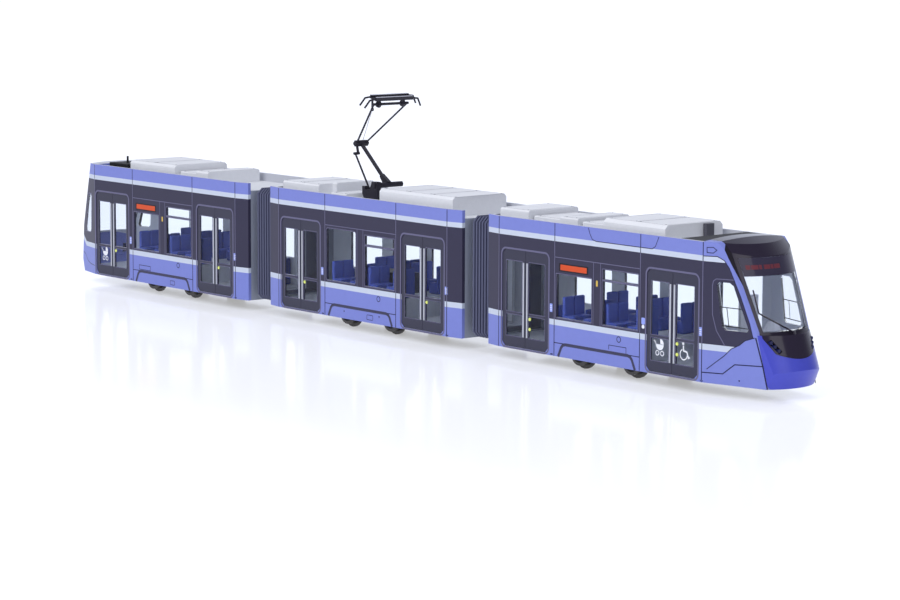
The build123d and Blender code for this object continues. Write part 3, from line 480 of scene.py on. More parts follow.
def tail_paint():
    material, tree, shader = node_tree("tail_paint")
    coordinates = object_coordinates(tree)
    along, _ = section_place(tree, coordinates, "rear")
    past = math_node(tree, "SUBTRACT", tail_rise_x * mm, along)
    rise = math_node(tree, "MULTIPLY", math_node(tree, "MAXIMUM", past, 0.0), -tail_rise)
    lowered = tree.nodes.new("ShaderNodeCombineXYZ")
    tree.links.new(rise, lowered.inputs["Z"])
    shifted = tree.nodes.new("ShaderNodeVectorMath")
    tree.links.new(coordinates, shifted.inputs[0])
    tree.links.new(lowered.outputs[0], shifted.inputs[1])
    wall_finish(tree, shader, coordinates, band_ramp(tree, shifted.outputs[0], bands, band_edges))
    return material


finish["tail_paint"] = tail_paint()
print("painted:", "tail_paint")

# %% [markdown]
# The floors are black where they face down and grey elsewhere. The door leaves are dark with bright bars;
# the bars stand proud of the leaf, so the distance from the middle of the tram tells them apart.

# %% Floors and doors
bar_face, downward = 13.12, -0.5
leaf_dark, bar_bright = srgb(58, 58, 76), srgb(186, 190, 200)


def floor_paint():
    """Black underneath, grey elsewhere."""
    material, tree, shader = node_tree("floor_paint")
    upward = math_node(tree, "GREATER_THAN", split_vector(tree, surface_normal(tree))["Z"], downward)
    colour = mixed(tree, upward, chassis_black, floor_grey)
    coat(tree, shader, object_coordinates(tree), colour, 0.6, 0.5, amount=0.05, grain=3000, bump=0.2)
    return material


def door_paint():
    """Dark leaves with bright bars: what stands nearest to the outside is a bar."""
    material, tree, shader = node_tree("door_paint")
    coordinates = object_coordinates(tree)
    proud = math_node(tree, "LESS_THAN", split_vector(tree, coordinates)["Y"], -bar_face * mm)
    coat(tree, shader, coordinates, mixed(tree, proud, leaf_dark, bar_bright), roughness=0.35, mirror=0.25)
    return material


finish["floor_paint"] = floor_paint()
finish["door_paint"] = door_paint()
print("painted:", "floor_paint", "door_paint")

# %% [markdown]
# The panes are thin clear plastic. A full refraction would bend the view of what is behind them, so a low
# one is set, which keeps the seats and the far windows in sight. The lamps are dark glossy plastic.

# %% Glass
def clear_glass(name, colour):
    material, _, shader = node_tree(name)
    shader.inputs["Base Color"].default_value = colour
    shader.inputs["Roughness"].default_value = 0.03
    shader.inputs["IOR"].default_value = 1.15
    shader.inputs["Transmission Weight"].default_value = 1.0
    return material


finish["window_glass"] = clear_glass("window_glass", srgb(241, 245, 248))
finish["screen_glass"] = clear_glass("screen_glass", srgb(236, 239, 245))
finish["lamp_glass"] = plastic("lamp_glass", srgb(30, 34, 78), 0.1, bump=0.0)
print("all finishes:", sorted(finish))

# %% [markdown]
# A solid's finish follows from its name: a few have one of their own, the pantograph is all black, and
# the rest go by the part of the name after the section.

# %% Give each solid its finish
node_finish = {
    "front_cab_shell": "cab_paint", "rear_tail_shell": "tail_paint", "front_mask": "mask_black",
    "front_windscreen": "screen_glass", "rear_window": "screen_glass", "front_lamps": "lamp_glass",
    "rear_lamps": "lamp_glass", "front_wiper": "mask_black", "front_cab_fittings": "fitting_grey",
    "motor": "motor_metal", "front_apron": "shaded_nose_blue", "front_roof_cover": "underframe_black",
    "rear_aerial": "underframe_black", "front_post": "post_grey",
}
ending_finish = {
    "wall_right": "side_paint", "wall_left": "side_paint", "roof": "roof_grey", "floor": "floor_paint",
    "glazing": "window_glass", "doors": "door_paint", "seats": "seat_blue", "roof_gear": "gear_grey",
    "gangway_frame": "frame_grey", "gangway_frames": "frame_grey", "bellows": "bellows_grey",
    "bogie_frame": "underframe_black", "wheelset_leading": "wheel_steel", "wheelset_trailing": "wheel_steel",
}


def finish_of(node):
    if node in node_finish:
        return node_finish[node]
    if node.startswith("pantograph"):
        return "pantograph_black"
    return ending_finish[node.split("_", 1)[1]]


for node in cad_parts:
    solid = bpy.data.objects[node]
    solid.data.materials.clear()
    solid.data.materials.append(finish[finish_of(node)])
print("finished solids:", len(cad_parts))

# %% [markdown]
# Flat-shaded facets show on curved plastic, above all in its reflections. The curved solids are shaded
# smooth, and edges sharper than a set angle stay crisp. Only shading changes, no vertex moves.

# %% Smooth shading of the curved solids
crisp_angle = math.radians(28)
curved_endings = ("mask", "apron", "windscreen", "cab_shell", "tail_shell", "rear_window", "lamps")
curved = [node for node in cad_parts
          if node.endswith(curved_endings) or node.startswith("pantograph") or "wheelset" in node]
for node in curved:
    mesh = bpy.data.objects[node].data
    mesh.shade_smooth()
    mesh.set_sharp_from_angle(angle=crisp_angle)
print("smooth solids:", len(curved))

# %% [markdown]
# The printed lines lie on the side walls. They could be part of the paint, but round corners and signs are
# hard to say in nodes, so the print is thin flat pieces a hair off the wall. A point of it is given as x
# along a section and height above the skirt; the half width of the section at that x puts it on the wall,
# which narrows at the ends of a section, along the cab and along the tail.

# %% Where the print lies
nose_end, tail_end = 64.6, -54.5
cab_seam, tail_seam = 40.4, -39.5
taper_start, taper_end = 40.3, 45.9
side_half, taper_half, nose_half, tail_half = 13.2, 12.2, 7.665, 9.555
rear_taper = [(-taper_end, taper_half), (-taper_start, side_half)]
front_taper = [(taper_start, side_half), (taper_end, taper_half)]
side_plan = {
    "front": rear_taper + [(cab_seam, side_half), (nose_end, nose_half)],
    "middle": rear_taper + front_taper,
    "rear": [(tail_end, tail_half), (tail_seam, side_half)] + front_taper,
}
print_lift, upper_lift, line_lift = 0.02, 0.03, 0.04
right, left = -1, 1
both = (right, left)


def half_width(section, x):
    for (xa, wa), (xb, wb) in zip(side_plan[section], side_plan[section][1:]):
        if x <= xb:
            return wa + (wb - wa) * (x - xa) / (xb - xa)
    return side_plan[section][-1][1]


def on_side(section, side, x, height, lift=print_lift):
    across = side * (half_width(section, x) + lift)
    return Vector((centre_x[section] + x, across, skirt + height)) * mm


print("side plan of:", sorted(side_plan))

# %% [markdown]
# All that is printed in one ink on one section is collected in one mesh, here called a sheet. Hundreds of
# single lines would make hundreds of pieces; this way there are a few.

# %% Inks and sheets
inks = {
    "dark": srgb(30, 30, 62), "soft": srgb(104, 102, 132), "arch": srgb(62, 62, 88),
    "white": srgb(236, 238, 244), "orange": srgb(214, 80, 38), "lime": srgb(228, 238, 124),
    "sticker": srgb(150, 164, 238), "amber": srgb(216, 184, 84), "black": srgb(26, 26, 32),
    "red": srgb(108, 50, 60),
}
ink_finish = {name: plastic(f"ink_{name}", colour, 0.34, bump=0.05, amount=0.02)
              for name, colour in inks.items()}
sheets = {}


def sheet(section, ink):
    """The mesh that collects what is printed in one ink on one section."""
    if (section, ink) not in sheets:
        sheets[section, ink] = bmesh.new()
    return sheets[section, ink]


# %% [markdown]
# A line is a ribbon of even width: two rails run beside its path and meet in mitres at the corners. A curve
# with a bevel would do as well, but it makes a round tube, and print is flat. A plate is a filled outline.

# %% Ribbons and plates
sharpest_mitre = 0.4


def plate(section, ink, sides, points, lift=print_lift):
    """A filled patch with the given outline."""
    bm = sheet(section, ink)
    for side in sides:
        bm.faces.new([bm.verts.new(on_side(section, side, x, z, lift)) for x, z in points])


def rails(points, width, closed):
    """Pairs of points half a width to both sides of a path, mitred at its corners."""
    path = [Vector(point) for point in points]
    pairs = []
    for i, here in enumerate(path):
        ways = []
        if closed or i > 0:
            ways.append((here - path[i - 1]).normalized())
        if closed or i + 1 < len(path):
            ways.append((path[(i + 1) % len(path)] - here).normalized())
        first = Vector((-ways[0].y, ways[0].x))
        mean = sum((Vector((-way.y, way.x)) for way in ways), Vector((0, 0))).normalized()
        reach = width / 2 / max(sharpest_mitre, mean.dot(first))
        pairs.append((here + mean * reach, here - mean * reach))
    return pairs


def lay_ribbon(bm, pairs, closed, place):
    """Faces between the rails, each point put in space by place(x, y)."""
    rows = [[bm.verts.new(place(point.x, point.y)) for point in pair] for pair in pairs]
    following = rows[1:] + rows[:1] if closed else rows[1:]
    for (a, b), (c, d) in zip(rows, following):
        bm.faces.new((a, b, d, c))


def ribbon(section, ink, sides, points, width, closed=False, lift=print_lift):
    """A printed line of even width through the points."""
    pairs = rails(points, width, closed)
    for side in sides:
        lay_ribbon(sheet(section, ink), pairs, closed, lambda x, z: on_side(section, side, x, z, lift))


# %% [markdown]
# Windows, doors and lids are rectangles with round corners. Their outlines are worked out from arcs, so
# that only the four sides and the radius have to be given.

# %% Arcs and outlines
def arc_points(x, z, radius, first, last, steps):
    """Points on an arc round (x, z), from the first angle to the last, in degrees."""
    turns = [math.radians(first + (last - first) * step / steps) for step in range(steps + 1)]
    return [(x + radius * math.cos(turn), z + radius * math.sin(turn)) for turn in turns]


def ring(x, z, radius, steps=20):
    """Points on a full circle, none of them twice."""
    return arc_points(x, z, radius, 0, 360, steps)[:-1]


def rounded(x0, x1, z0, z1, radius, steps=5):
    """Outline of a rectangle with round corners."""
    middles = [(x1 - radius, z1 - radius), (x0 + radius, z1 - radius), (x0 + radius, z0 + radius),
               (x1 - radius, z0 + radius)]
    points = []
    for quarter, (x, z) in enumerate(middles):
        points += arc_points(x, z, radius, 90 * quarter, 90 * (quarter + 1), steps)
    return points


# %% [markdown]
# All three sections share the lines of the body: seams between the panels, the line over the windows, the
# arch over the bogie and a small round lid. A seam is dark on blue and pale on the dark window band, as a
# groove catches the light. Real grooves would be a quarter of a millimetre wide, so they are drawn.

# %% Panel lines
panel_seam, arch_foot = 17.0, 13.0
seams = {"front": (-taper_start, -panel_seam, panel_seam, cab_seam),
         "middle": (-taper_start, -panel_seam, panel_seam, taper_start),
         "rear": (tail_seam, -panel_seam, panel_seam, taper_start)}
wall_low, dark_low, dark_high, wall_high, over_windows, hatch_top = 0.05, 10.0, 31.5, 36.4, 27.2, 3.75
line, seam_line, seal, arch_line = 0.22, 0.26, 0.2, 0.85
arch = [(-15.3, wall_low), (-14.7, 1.3), (-14.1, 2.6), (-13.4, 3.35), (-12.4, 3.6)]
arch = arch + [(-x, z) for x, z in reversed(arch)]


def panel_lines(section):
    for x in seams[section]:
        ribbon(section, "dark", both, [(x, wall_low), (x, dark_low)], seam_line)
        ribbon(section, "soft", both, [(x, dark_low), (x, dark_high)], seam_line)
        ribbon(section, "dark", both, [(x, dark_high), (x, wall_high)], seam_line)
    ribbon(section, "soft", both, [(-panel_seam, over_windows), (panel_seam, over_windows)], line)
    ribbon(section, "arch", both, arch, arch_line)
    for sign in (-1, 1):
        ribbon(section, "dark", both, [(sign * panel_seam, hatch_top), (sign * arch_foot, hatch_top)], line)
    for x in (-1.3, 1.5):
        ribbon(section, "soft", both, [(x, 10.2), (x, 27.1)], seal)
    ribbon(section, "dark", both, ring(8.9, 7.5, 0.75), line, True)


# %% [markdown]
# A seal edges each window. On the door side the windows lie between the doors; the other side also has a
# pane across from each door. The first window is lower where a display stands over it.

# %% Window seals
door_x = 29.2
window_edge, pillar_left, pillar_right, far_half = 16.2, -2.1, 2.4, 7.7
sill, lintel = 10.8, 26.2
low_window = (-window_edge, pillar_left, sill, 22.6)
tall_window = (-window_edge, pillar_left, sill, lintel)
hopper = [(pillar_right, window_edge, sill, 22.4), (pillar_right, window_edge, 23.0, 25.6)]
far_panes = [(x - far_half, x + far_half, sill, lintel) for x in (-door_x, door_x)]
seal_out, tall_corner, small_corner = 0.2, 1.0, 0.25


def window_lines(section):
    first_window = tall_window if section == "middle" else low_window
    for side, windows in ((right, [first_window] + hopper), (left, [tall_window] + hopper + far_panes)):
        for x0, x1, z0, z1 in windows:
            corner = tall_corner if z1 == lintel else small_corner
            seal_edge = rounded(x0 - seal_out, x1 + seal_out, z0 - seal_out, z1 + seal_out, corner)
            ribbon(section, "soft", (side,), seal_edge, seal, True)


# %% [markdown]
# Each door stands in a frame with round corners, and its two leaves have a low and a high pane with a seal.
# The seal is drawn in pale ink, which is a painted highlight on it.
# The leaves lie a little behind the wall, so what is printed on them has a lift below zero.

# %% Door frames
door_half, door_low, door_high, door_lift = 9.65, 0.5, 27.6, -0.13
pane_inner, pane_outer = 1.3, 8.15
panes_z = [(3.5, 9.65), (10.35, 24.6)]
frame_out, frame_corner, frame_width, fine_line = 0.28, 1.7, 0.5, 0.18


def door_lines(section):
    half = door_half + frame_out
    for x in (-door_x, door_x):
        frame_edge = rounded(x - half, x + half, door_low - frame_out, door_high + frame_out, frame_corner)
        ribbon(section, "soft", (right,), frame_edge, frame_width, True)
        for sign in (-1, 1):
            ends = sorted((x + sign * pane_inner, x + sign * pane_outer))
            for z0, z1 in panes_z:
                # Pale seal round each pane: partly the real seal, partly a painted highlight on it.
                ribbon(section, "soft", (right,), rounded(*ends, z0, z1, 0.2, 2), fine_line, True, door_lift)
        plate(section, "dark", (right,), rounded(x + 10.7, x + 11.7, 0.25, 0.6, 0.1, 2))


# %% [markdown]
# Small stickers stand beside the doors: a pale plate with three white dashes, which lie a hair higher so
# that the two don't flicker into each other. Then the lines of all three sections are drawn.

# %% Stickers
sticker_half, sticker_low, sticker_high = 0.55, 12.0, 14.3
dash_half, dash_thick = 0.35, 0.2


def stickers(section):
    for x in (-18.3, 39.8 if section == "front" else 40.0):
        edge = rounded(x - sticker_half, x + sticker_half, sticker_low, sticker_high, 0.15, 2)
        plate(section, "sticker", (right,), edge)
        for z in (12.55, 13.1, 13.65):
            dash = rounded(x - dash_half, x + dash_half, z - dash_thick / 2, z + dash_thick / 2, 0.05, 1)
            plate(section, "white", (right,), dash, upper_lift)


for section in centre_x:
    panel_lines(section)
    window_lines(section)
    door_lines(section)
    stickers(section)
print("inks in use:", sorted({ink for _, ink in sheets}))

# %% [markdown]
# Each section has marks of its own: the outlines of hatches and small lids, and over the first window of
# the front and the rear section the route display, which is a plain lit panel in a dark frame.

# %% Marks of the single sections
hatch_line, lid_line = 0.2, 0.16
for section in ("front", "rear"):
    plate(section, "black", (right,), rounded(-15.2, -3.4, 23.5, 25.7, 0.2, 2))
    plate(section, "orange", (right,), rounded(-14.6, -4.0, 23.85, 25.35, 0.15, 2), upper_lift)
    plate(section, "amber", (right,), rounded(-0.25, 0.45, 20.8, 22.4, 0.2, 2))
ribbon("front", "dark", (right,), [(5.0, 4.4), (5.0, 5.6), (11.8, 5.6), (11.8, 4.0)], fine_line)
ribbon("rear", "dark", (right,), [(-13.4, 5.6), (-7.0, 5.6), (-7.0, 4.2), (-13.4, 4.2)], fine_line, True)
ribbon("rear", "dark", (right,), rounded(4.4, 6.8, 0.9, 2.2, 0.2, 2), lid_line, True)
ribbon("middle", "dark", (right,), rounded(3.4, 6.2, 0.9, 2.3, 0.2, 2), lid_line, True)
for x, z in ((-7.6, 2.2), (9.2, 2.3)):
    plate("middle", "dark", both, ring(x, z, 0.25, 12))
roof_hatch = [(-3.5, 36.3), (-2.9, 34.8), (-1.9, 33.3), (-0.4, 32.9), (21.4, 32.9), (22.6, 33.6),
              (23.9, 36.2)]
ribbon("front", "dark", both, roof_hatch, hatch_line)
plate("front", "sticker", (right,), rounded(17.6, 19.0, 12.6, 14.4, 0.3, 3))
plate("front", "white", (right,), ring(18.3, 12.0, 0.55, 16))
print("sheets so far:", len(sheets))

# %% [markdown]
# Two doors carry picture signs, a pram and a wheelchair. They could be letters of a symbol font, but fonts
# differ between computers, so they are drawn with the same arcs, rings and ribbons as the rest.

# %% Picture signs
def pram(section, x, z):
    """Picture sign: hood and body, handle, two wheels."""
    plate(section, "white", (right,), arc_points(x, z, 1.5, 180, 360, 12), door_lift)
    hood = [(x + 0.15, z + 0.12)] + arc_points(x + 0.15, z + 0.12, 1.35, 0, 90, 6)
    plate(section, "white", (right,), hood, door_lift)
    handle = [(x - 1.3, z - 0.1), (x - 1.9, z + 0.8), (x - 2.3, z + 0.9)]
    ribbon(section, "white", (right,), handle, 0.25, False, door_lift)
    for wheel in (-0.9, 0.9):
        ribbon(section, "white", (right,), ring(x + wheel, z - 2.3, 0.62, 14), 0.24, True, door_lift)


def wheelchair(section, x, z):
    """Picture sign: sitter, seat and large wheel."""
    plate(section, "white", (right,), ring(x - 0.3, z + 1.9, 0.42, 12), door_lift)
    sitter = [(x - 0.25, z + 1.3), (x - 0.1, z - 0.1), (x + 1.1, z - 0.2), (x + 1.7, z - 1.7),
              (x + 2.2, z - 1.5)]
    ribbon(section, "white", (right,), sitter, 0.42, False, door_lift)
    wheel = arc_points(x - 0.1, z - 1.0, 1.35, 110, 360, 16)
    ribbon(section, "white", (right,), wheel, 0.3, False, door_lift)


signs = [(pram, "front", door_x - 4.6, 8.0), (wheelchair, "front", door_x + 4.5, 7.4),
         (pram, "rear", -door_x - 4.4, 8.2)]
for draw, section, x, z in signs:
    draw(section, x, z)
print("signs drawn:", len(signs))

# %% [markdown]
# Thin dark lines follow the edges of the post and the wedge, and the joints of the hatches below them. The
# points of the paint's own edges are used again, so that line and colour meet. Thin bars cross the cab's
# side window. A row of cab_lines is ink, points, width, whether it is closed, and lift.

# %% Lines on the cab and the tail
joint_line, bar_line = 0.36, 0.24
post_line = [(40.6, 32.81)] + [(x, z) for z, x in reversed(post_left)]
lower_hatch = [(40.41, 2.65), (46.71, 2.84), (50.21, 5.55), (58.5, 5.88)]
apron_joint = [(56.2, 13.04), (58.4, 5.88), (59.85, 0.05)]
roof_flap = [(41.56, 35.1), (43.42, 35.24), (44.45, 34.58), (43.45, 33.77), (41.58, 33.77)]
pane_frame = [(49.6, 27.3), (44.4, 27.2), (43.6, 26.6), (43.3, 25.4), (43.45, 17.9), (44.65, 13.86),
              (47.26, 10.1)]
pane_bars = [[(45.0, 20.1), (51.9, 20.0)], [(45.9, 15.3), (54.2, 15.1)], [(47.6, 20.1), (48.3, 15.2)]]
cab_lines = [
    ("dark", post_line, hatch_line, False, line_lift),
    ("dark", wedge_edge[:-1], hatch_line, False, line_lift),
    ("dark", lower_hatch, seam_line, False, line_lift),
    ("dark", apron_joint, joint_line, False, line_lift),
    ("dark", roof_flap, fine_line, True, line_lift),
    ("soft", pane_frame, line, False, upper_lift),
]
for ink, points, width, closed, lift in cab_lines:
    ribbon("front", ink, both, points, width, closed, lift)
for points in pane_bars:
    ribbon("front", "black", both, points, bar_line, lift=-print_lift)
plate("front", "dark", both, ring(51.6, 1.5, 0.22, 10), upper_lift)

tail_hatch = [(-51.2, 6.4), (-49.2, 5.8), (-46.6, 3.7), (-44.0, 3.0), (-40.2, 2.8)]
ribbon("rear", "dark", both, tail_hatch, hatch_line)
tail_pane = [(-42.6, 26.5), (-45.2, 26.5), (-48.6, 13.6), (-43.2, 13.6)]
ribbon("rear", "soft", both, tail_pane, line, True)
print("lines on the cab:", len(cab_lines) + len(pane_bars))

# %% [markdown]
# Each sheet becomes one piece that rides on its section. An outline runs the same way round on both sides
# of the tram, so on one of them its faces look inwards, and those are turned round. A finished piece names
# the body that it rides on.

# %% Printed pieces
def piece_of(name, bm, material, body):
    piece = new_mesh_object(name, bm)
    piece.data.materials.append(material)
    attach(piece, body)
    return piece


def printed(section, ink, bm):
    bm.normal_update()
    inward = [face for face in bm.faces if face.normal.y * face.calc_center_median().y < 0]
    bmesh.ops.reverse_faces(bm, faces=inward)
    return piece_of(f"{section}_{ink}_print", bm, ink_finish[ink], f"{section}_section")


prints = [printed(section, ink, bm) for (section, ink), bm in sheets.items()]
print("printed pieces:", len(prints))

# %% [markdown]
# The display at the top of the windscreen follows its curve. A flat panel would cut into the glass, so a
# copy of the glass's outer skin is cut down by planes to the shape of the mark and lifted off by a hair. It
# has the same curve as what carries it. Plain red bars stand in the display.

# %% Display at the top of the windscreen
forward_facing = 0.35


def skin_patch(name, node, cuts, lift, ink, body):
    """Forward-facing skin of a solid, on the inner side of each cutting plane (point in mm, direction)."""
    bm = bmesh.new()
    bm.from_mesh(bpy.data.objects[node].data)
    behind = [face for face in bm.faces if face.normal.x < forward_facing]
    bmesh.ops.delete(bm, geom=behind, context="FACES")
    for point, away in cuts:
        everything = bm.verts[:] + bm.edges[:] + bm.faces[:]
        place = Vector(point) * mm
        bmesh.ops.bisect_plane(bm, geom=everything, plane_co=place, plane_no=away, clear_outer=True)
    bm.normal_update()
    for vertex in bm.verts:
        vertex.co += vertex.normal * lift * mm
    piece = piece_of(name, bm, ink, body)
    piece.data.shade_smooth()
    return piece


display_low, text_low, text_high = skirt + 28.2, skirt + 29.9, skirt + 31.0
display_bars = [(-8.4, -7.3), (-7.1, -5.2), (-5.0, -4.2), (-3.6, -1.7), (-1.5, -0.6), (-0.4, 1.8)]
display_tint = plastic("display_tint", srgb(58, 54, 72), 0.08, bump=0.0)
display_cut = [((0, 0, display_low), (0, 0, -1))]
skin_patch("front_display", "front_windscreen", display_cut, print_lift, display_tint,
           "front_section")
for number, (y0, y1) in enumerate(display_bars):
    cuts = [((0, 0, text_low), (0, 0, -1)), ((0, 0, text_high), (0, 0, 1)),
            ((0, y0, 0), (0, -1, 0)), ((0, y1, 0), (0, 1, 0))]
    skin_patch(f"front_display_bar_{number}", "front_windscreen", cuts, line_lift, ink_finish["red"],
               "front_section")
print("display patches:", 1 + len(display_bars))

# %% [markdown]
# The seats are padded. At this size a box with soft edges is all that shows of a cushion, so a cube is
# stretched by its matrix and its edges are bevelled.

# %% Soft boxes
def soft_box(bm, low, high, round_edge):
    """A box between two corners, in mm, with rounded edges."""
    size = Vector(high) - Vector(low)
    middle = (Vector(high) + Vector(low)) / 2
    turn = Matrix.Translation(middle * mm) @ Matrix.Diagonal((*(size * mm), 1))
    made = bmesh.ops.create_cube(bm, size=1.0, matrix=turn)
    edges = {edge for vertex in made["verts"] for edge in vertex.link_edges}
    bmesh.ops.bevel(bm, geom=list(edges), offset=round_edge * mm, segments=2, profile=0.5,
                    affect="EDGES", material=-1)


# %% [markdown]
# Benches take the place of the plain seat blocks. Each block gives its own place: the part of it that is
# highest is the backrest, and the rest is the cushion. A bench gets two soft-edged backs and cushions.

# %% Benches
def islands(bm):
    """Groups of vertices that hang together."""
    todo = set(bm.verts)
    groups = []
    while todo:
        group, front = set(), [todo.pop()]
        while front:
            vertex = front.pop()
            group.add(vertex)
            for edge in vertex.link_edges:
                other = edge.other_vert(vertex)
                if other in todo:
                    todo.remove(other)
                    front.append(other)
        groups.append(group)
    return groups


cushion_height, back_height, seat_split = 3.3, 8.4, 0.25
seat_round, back_sunk = 0.4, 0.6
weld_distance, top_depth = 0.001, 0.1


def benches(section):
    blocks = bmesh.new()
    blocks.from_mesh(bpy.data.objects[f"{section}_seats"].data)
    bmesh.ops.remove_doubles(blocks, verts=blocks.verts[:], dist=weld_distance * mm)
    bm = bmesh.new()
    for group in islands(blocks):
        places = [vertex.co / mm for vertex in group]
        low = Vector([min(place[axis] for place in places) for axis in range(3)])
        high = Vector([max(place[axis] for place in places) for axis in range(3)])
        top = [place.x for place in places if place.z > high.z - top_depth]
        middle = (low.y + high.y) / 2
        for y0, y1 in ((low.y, middle - seat_split / 2), (middle + seat_split / 2, high.y)):
            back_low = low.z + cushion_height - back_sunk
            soft_box(bm, (low.x, y0, low.z), (high.x, y1, low.z + cushion_height), seat_round)
            soft_box(bm, (min(top), y0, back_low), (max(top), y1, low.z + back_height), seat_round)
    blocks.free()
    piece = new_mesh_object(f"{section}_benches", bm)
    piece.data.materials.append(finish["seat_blue"])
    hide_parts(f"{section}_seats")
    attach(piece, f"{section}_section")
    return piece


for section in centre_x:
    print("benches:", benches(section).name)

# %% [markdown]
# Buttons, wheel caps and pivot caps are short round pieces across the tram. A create_cone call with equal
# radii makes a cylinder, with a smaller tip a cap with a sloping rim, and a matrix turns it to face
# outwards.

# %% Round pieces
def disc(bm, centre, radius, depth, segments=24, tip=None):
    """A short cylinder across the tram; tip is the radius of its outer end."""
    outwards = Matrix.Rotation(math.radians(90 if centre[1] < 0 else -90), 4, "X")
    outer = radius if tip is None else tip
    bmesh.ops.create_cone(bm, cap_ends=True, segments=segments, radius1=radius * mm, radius2=outer * mm,
                          depth=depth * mm, matrix=Matrix.Translation(Vector(centre) * mm) @ outwards)


# %% [markdown]
# The leading leaf of each door has a bright button, and on the front section a second one below it.

# %% Door buttons
button_heights = {"front": (8.9, 6.1), "middle": (8.9,), "rear": (8.9,)}
door_face, button_ahead, button_out = 13.05, 1.9, 0.05
button_radius, button_tip, button_depth = 0.5, 0.4, 0.2
for section, heights in button_heights.items():
    bm = bmesh.new()
    for x in (-door_x, door_x):
        for height in heights:
            place = (centre_x[section] + x + button_ahead, -door_face - button_out, skirt + height)
            disc(bm, place, button_radius, button_depth, tip=button_tip)
    piece_of(f"{section}_door_buttons", bm, ink_finish["lime"], f"{section}_section")

print("door buttons on:", sorted(button_heights))

# %% [markdown]
# A thin plate, a hub and five screws dress the outer face of each wheel. They ride on the axle's body and
# not on the bogie, so that they turn with the wheels.

# %% Wheel caps
axle_z, wheelbase, wheel_face = 4.45, 20.7, 10.0
cap_radius, cap_depth = 2.6, 0.1
hub_radius, hub_tip, hub_depth = 1.4, 1.1, 0.3
screw_count, screw_circle, screw_radius, screw_depth = 5, 2.0, 0.22, 0.15
for section in centre_x:
    for end, sign in (("leading", 1), ("trailing", -1)):
        bm = bmesh.new()
        x = centre_x[section] + sign * wheelbase / 2
        for side in both:
            cap_y, hub_y = (side * (wheel_face + depth / 2) for depth in (cap_depth, hub_depth))
            disc(bm, (x, cap_y, axle_z), cap_radius, cap_depth, 32)
            disc(bm, (x, hub_y, axle_z), hub_radius, hub_depth, 24, tip=hub_tip)
            for screw_x, screw_z in ring(x, axle_z, screw_circle, screw_count):
                disc(bm, (screw_x, hub_y, screw_z), screw_radius, screw_depth, 8)
        piece_of(f"{section}_{end}_wheel_caps", bm, finish["underframe_black"], f"{section}_{end}_wheels")
print("wheel caps on axles:", 2 * len(centre_x))

# %% [markdown]
# The pantograph is the finest part of the model. The solids carry its arms and pivots, and what is added is
# too thin for them. First comes pale carbon on the two strips of the head. The head is tilted a little, so
# a helper places points in the head's own directions, from its shaft.

# %% Carbon strips
pan_x = centre_x["middle"]
knee = (pan_x - 16.4, skirt + 50.9)
shaft = (pan_x - 2.2, skirt + 63.5)
tie_top = (pan_x - 15.6, skirt + 48.0)
head_lean = math.radians(16)


def on_head(forward, across, up):
    """Place on the tilted head, from its shaft, in mm."""
    return Vector((shaft[0] + forward * math.cos(head_lean) + up * math.sin(head_lean), across,
                   shaft[1] - forward * math.sin(head_lean) + up * math.cos(head_lean)))


carbon = plastic("carbon_strip", srgb(186, 186, 198), 0.5)
strip_half, strip_apart, strip_top, carbon_half = 6.9, 1.2, 2.62, 0.3
bm = bmesh.new()
for forward in (-strip_apart, strip_apart):
    corners = [(-carbon_half, -strip_half), (carbon_half, -strip_half), (carbon_half, strip_half),
               (-carbon_half, strip_half)]
    bm.faces.new([bm.verts.new(on_head(forward + dx, y, strip_top) * mm) for dx, y in corners])
piece_of("pantograph_carbon", bm, carbon, "pantograph_head")
print("made: carbon strips")

# %% [markdown]
# A small eye hangs under one end of the head. A spun circle would make it too; at this size a ring of small
# soft boxes that run into each other looks the same. It sits on a flat hanger.

# %% Hanging eye
hanger_low = on_head(-0.6, -6.0, -1.7)
hanger_from, hanger_to, hanger_round = Vector((-0.35, -0.18, 0.3)), Vector((0.35, 0.18, 3.2)), 0.08
eye_radius, bead_count, bead_round = 0.42, 12, 0.04
bead_reach = Vector((0.16, 0.16, 0.16))
bm = bmesh.new()
soft_box(bm, hanger_low + hanger_from, hanger_low + hanger_to, hanger_round)
for bead_x, bead_z in ring(0, 0, eye_radius, bead_count):
    bead = hanger_low + Vector((bead_x, 0, bead_z))
    soft_box(bm, bead - bead_reach, bead + bead_reach, bead_round)
piece_of("pantograph_hanger", bm, finish["pantograph_black"], "pantograph_head")
print("made: hanging eye")

# %% [markdown]
# Caps close the knee on both sides, and a pin goes through the upper end of the tie rod. Both ride on the
# upper arm, since they turn with it.

# %% Knee caps and pin
knee_half, knee_radius, knee_tip, knee_depth = 2.35, 0.75, 0.6, 0.4
pin_y, pin_radius, pin_length = -2.3, 0.42, 2.0
bm = bmesh.new()
for side in both:
    disc(bm, (knee[0], side * knee_half, knee[1]), knee_radius, knee_depth, 20, tip=knee_tip)
disc(bm, (tie_top[0], pin_y, tie_top[1]), pin_radius, pin_length, 16)
piece_of("pantograph_knee_caps", bm, finish["pantograph_black"], "pantograph_upper_arm")
print("made: knee caps and pin")

# %% [markdown]
# A thin control wire runs from the knee to the eye.

# %% Control wire
def wire(name, start, end, radius, rings, material, sides=8):
    """A straight round wire with rings along it."""
    way = Vector(end) - Vector(start)
    turn = way.to_track_quat("Z", "Y").to_matrix().to_4x4()
    bm = bmesh.new()
    rows = []
    for k in range(rings + 1):
        here = Matrix.Translation((Vector(start) + way * k / rings) * mm) @ turn
        made = bmesh.ops.create_circle(bm, segments=sides, radius=radius * mm, matrix=here)
        rows.append(made["verts"])
    for lower, upper in zip(rows, rows[1:]):
        for i in range(sides):
            after = (i + 1) % sides
            bm.faces.new((lower[i], lower[after], upper[after], upper[i]))
    piece = new_mesh_object(name, bm)
    piece.data.materials.append(material)
    return piece


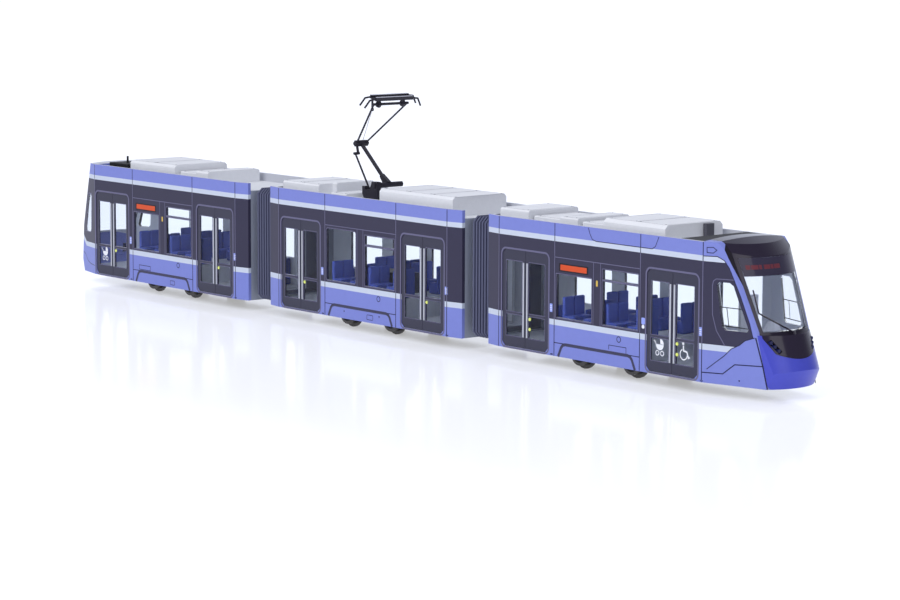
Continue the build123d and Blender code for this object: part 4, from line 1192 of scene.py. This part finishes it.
wire_radius, wire_rings, bend_from = 0.1, 12, 0.7
control_start = Vector((knee[0] + 0.4, 0.4, knee[1] + 0.9))
control = wire("pantograph_control_wire", control_start, hanger_low, wire_radius, wire_rings, carbon)
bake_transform(control)
print("made: control wire")

# %% [markdown]
# The lids of the roof boxes are drawn with fine grey grooves and small screws, in the same ribbon way as
# the print, on level planes. Long boxes have several lids. A row of the table is a section, the box's two
# ends, half the lid's width and the height of the box above the roof.

# %% Roof boxes
lids = [
    ("front", -45.5, -32.5, 8.6, 4.3), ("front", -31.5, -20.0, 7.6, 2.9), ("front", -19.0, -12.0, 9.0, 3.8),
    ("front", -11.0, -1.5, 8.1, 3.0), ("front", -0.5, 23.4, 9.4, 5.0), ("middle", -43.5, -24.6, 9.2, 4.4),
    ("middle", -19.5, -12.0, 8.6, 2.4), ("middle", 5.3, 40.0, 9.1, 5.5), ("rear", -22.5, 3.0, 9.3, 4.9),
    ("rear", 3.8, 14.0, 8.1, 3.0), ("rear", 14.6, 21.2, 9.4, 4.0),
]
roof_level = skirt + 34.0
lid_length, lid_edge, lid_gap, lid_corner, groove_width = 12, 0.7, 0.2, 0.5, 0.18
lid_screw_in, lid_screw_radius, lid_screw_tip, lid_screw_depth = 0.6, 0.22, 0.18, 0.12
groove = plastic("groove_grey", srgb(150, 152, 162), 0.6)


def lid_panel(bm, section, x0, x1, half, top):
    """Groove round one lid, with a screw near each corner."""
    outline = rounded(x0, x1, -half, half, lid_corner, 3)
    lay_ribbon(bm, rails(outline, groove_width, True), True,
               lambda x, y: Vector((centre_x[section] + x, y, top)) * mm)
    for x in (x0 + lid_screw_in, x1 - lid_screw_in):
        for y in (-half + lid_screw_in, half - lid_screw_in):
            place = Matrix.Translation(Vector((centre_x[section] + x, y, top)) * mm)
            bmesh.ops.create_cone(bm, cap_ends=True, segments=10, radius1=lid_screw_radius * mm,
                                  radius2=lid_screw_tip * mm, depth=lid_screw_depth * mm, matrix=place)


for section in centre_x:
    bm = bmesh.new()
    for owner, x0, x1, half, rise in lids:
        if owner == section:
            count = max(1, round((x1 - x0) / lid_length))
            pitch = (x1 - x0 - 2 * lid_edge) / count
            top = roof_level + rise + print_lift
            for k in range(count):
                start = x0 + lid_edge + pitch * k
                lid_panel(bm, section, start + lid_gap, start + pitch - lid_gap, half, top)
    piece_of(f"{section}_lid_grooves", bm, groove, f"{section}_section")
print("roof lids drawn:", len(lids))
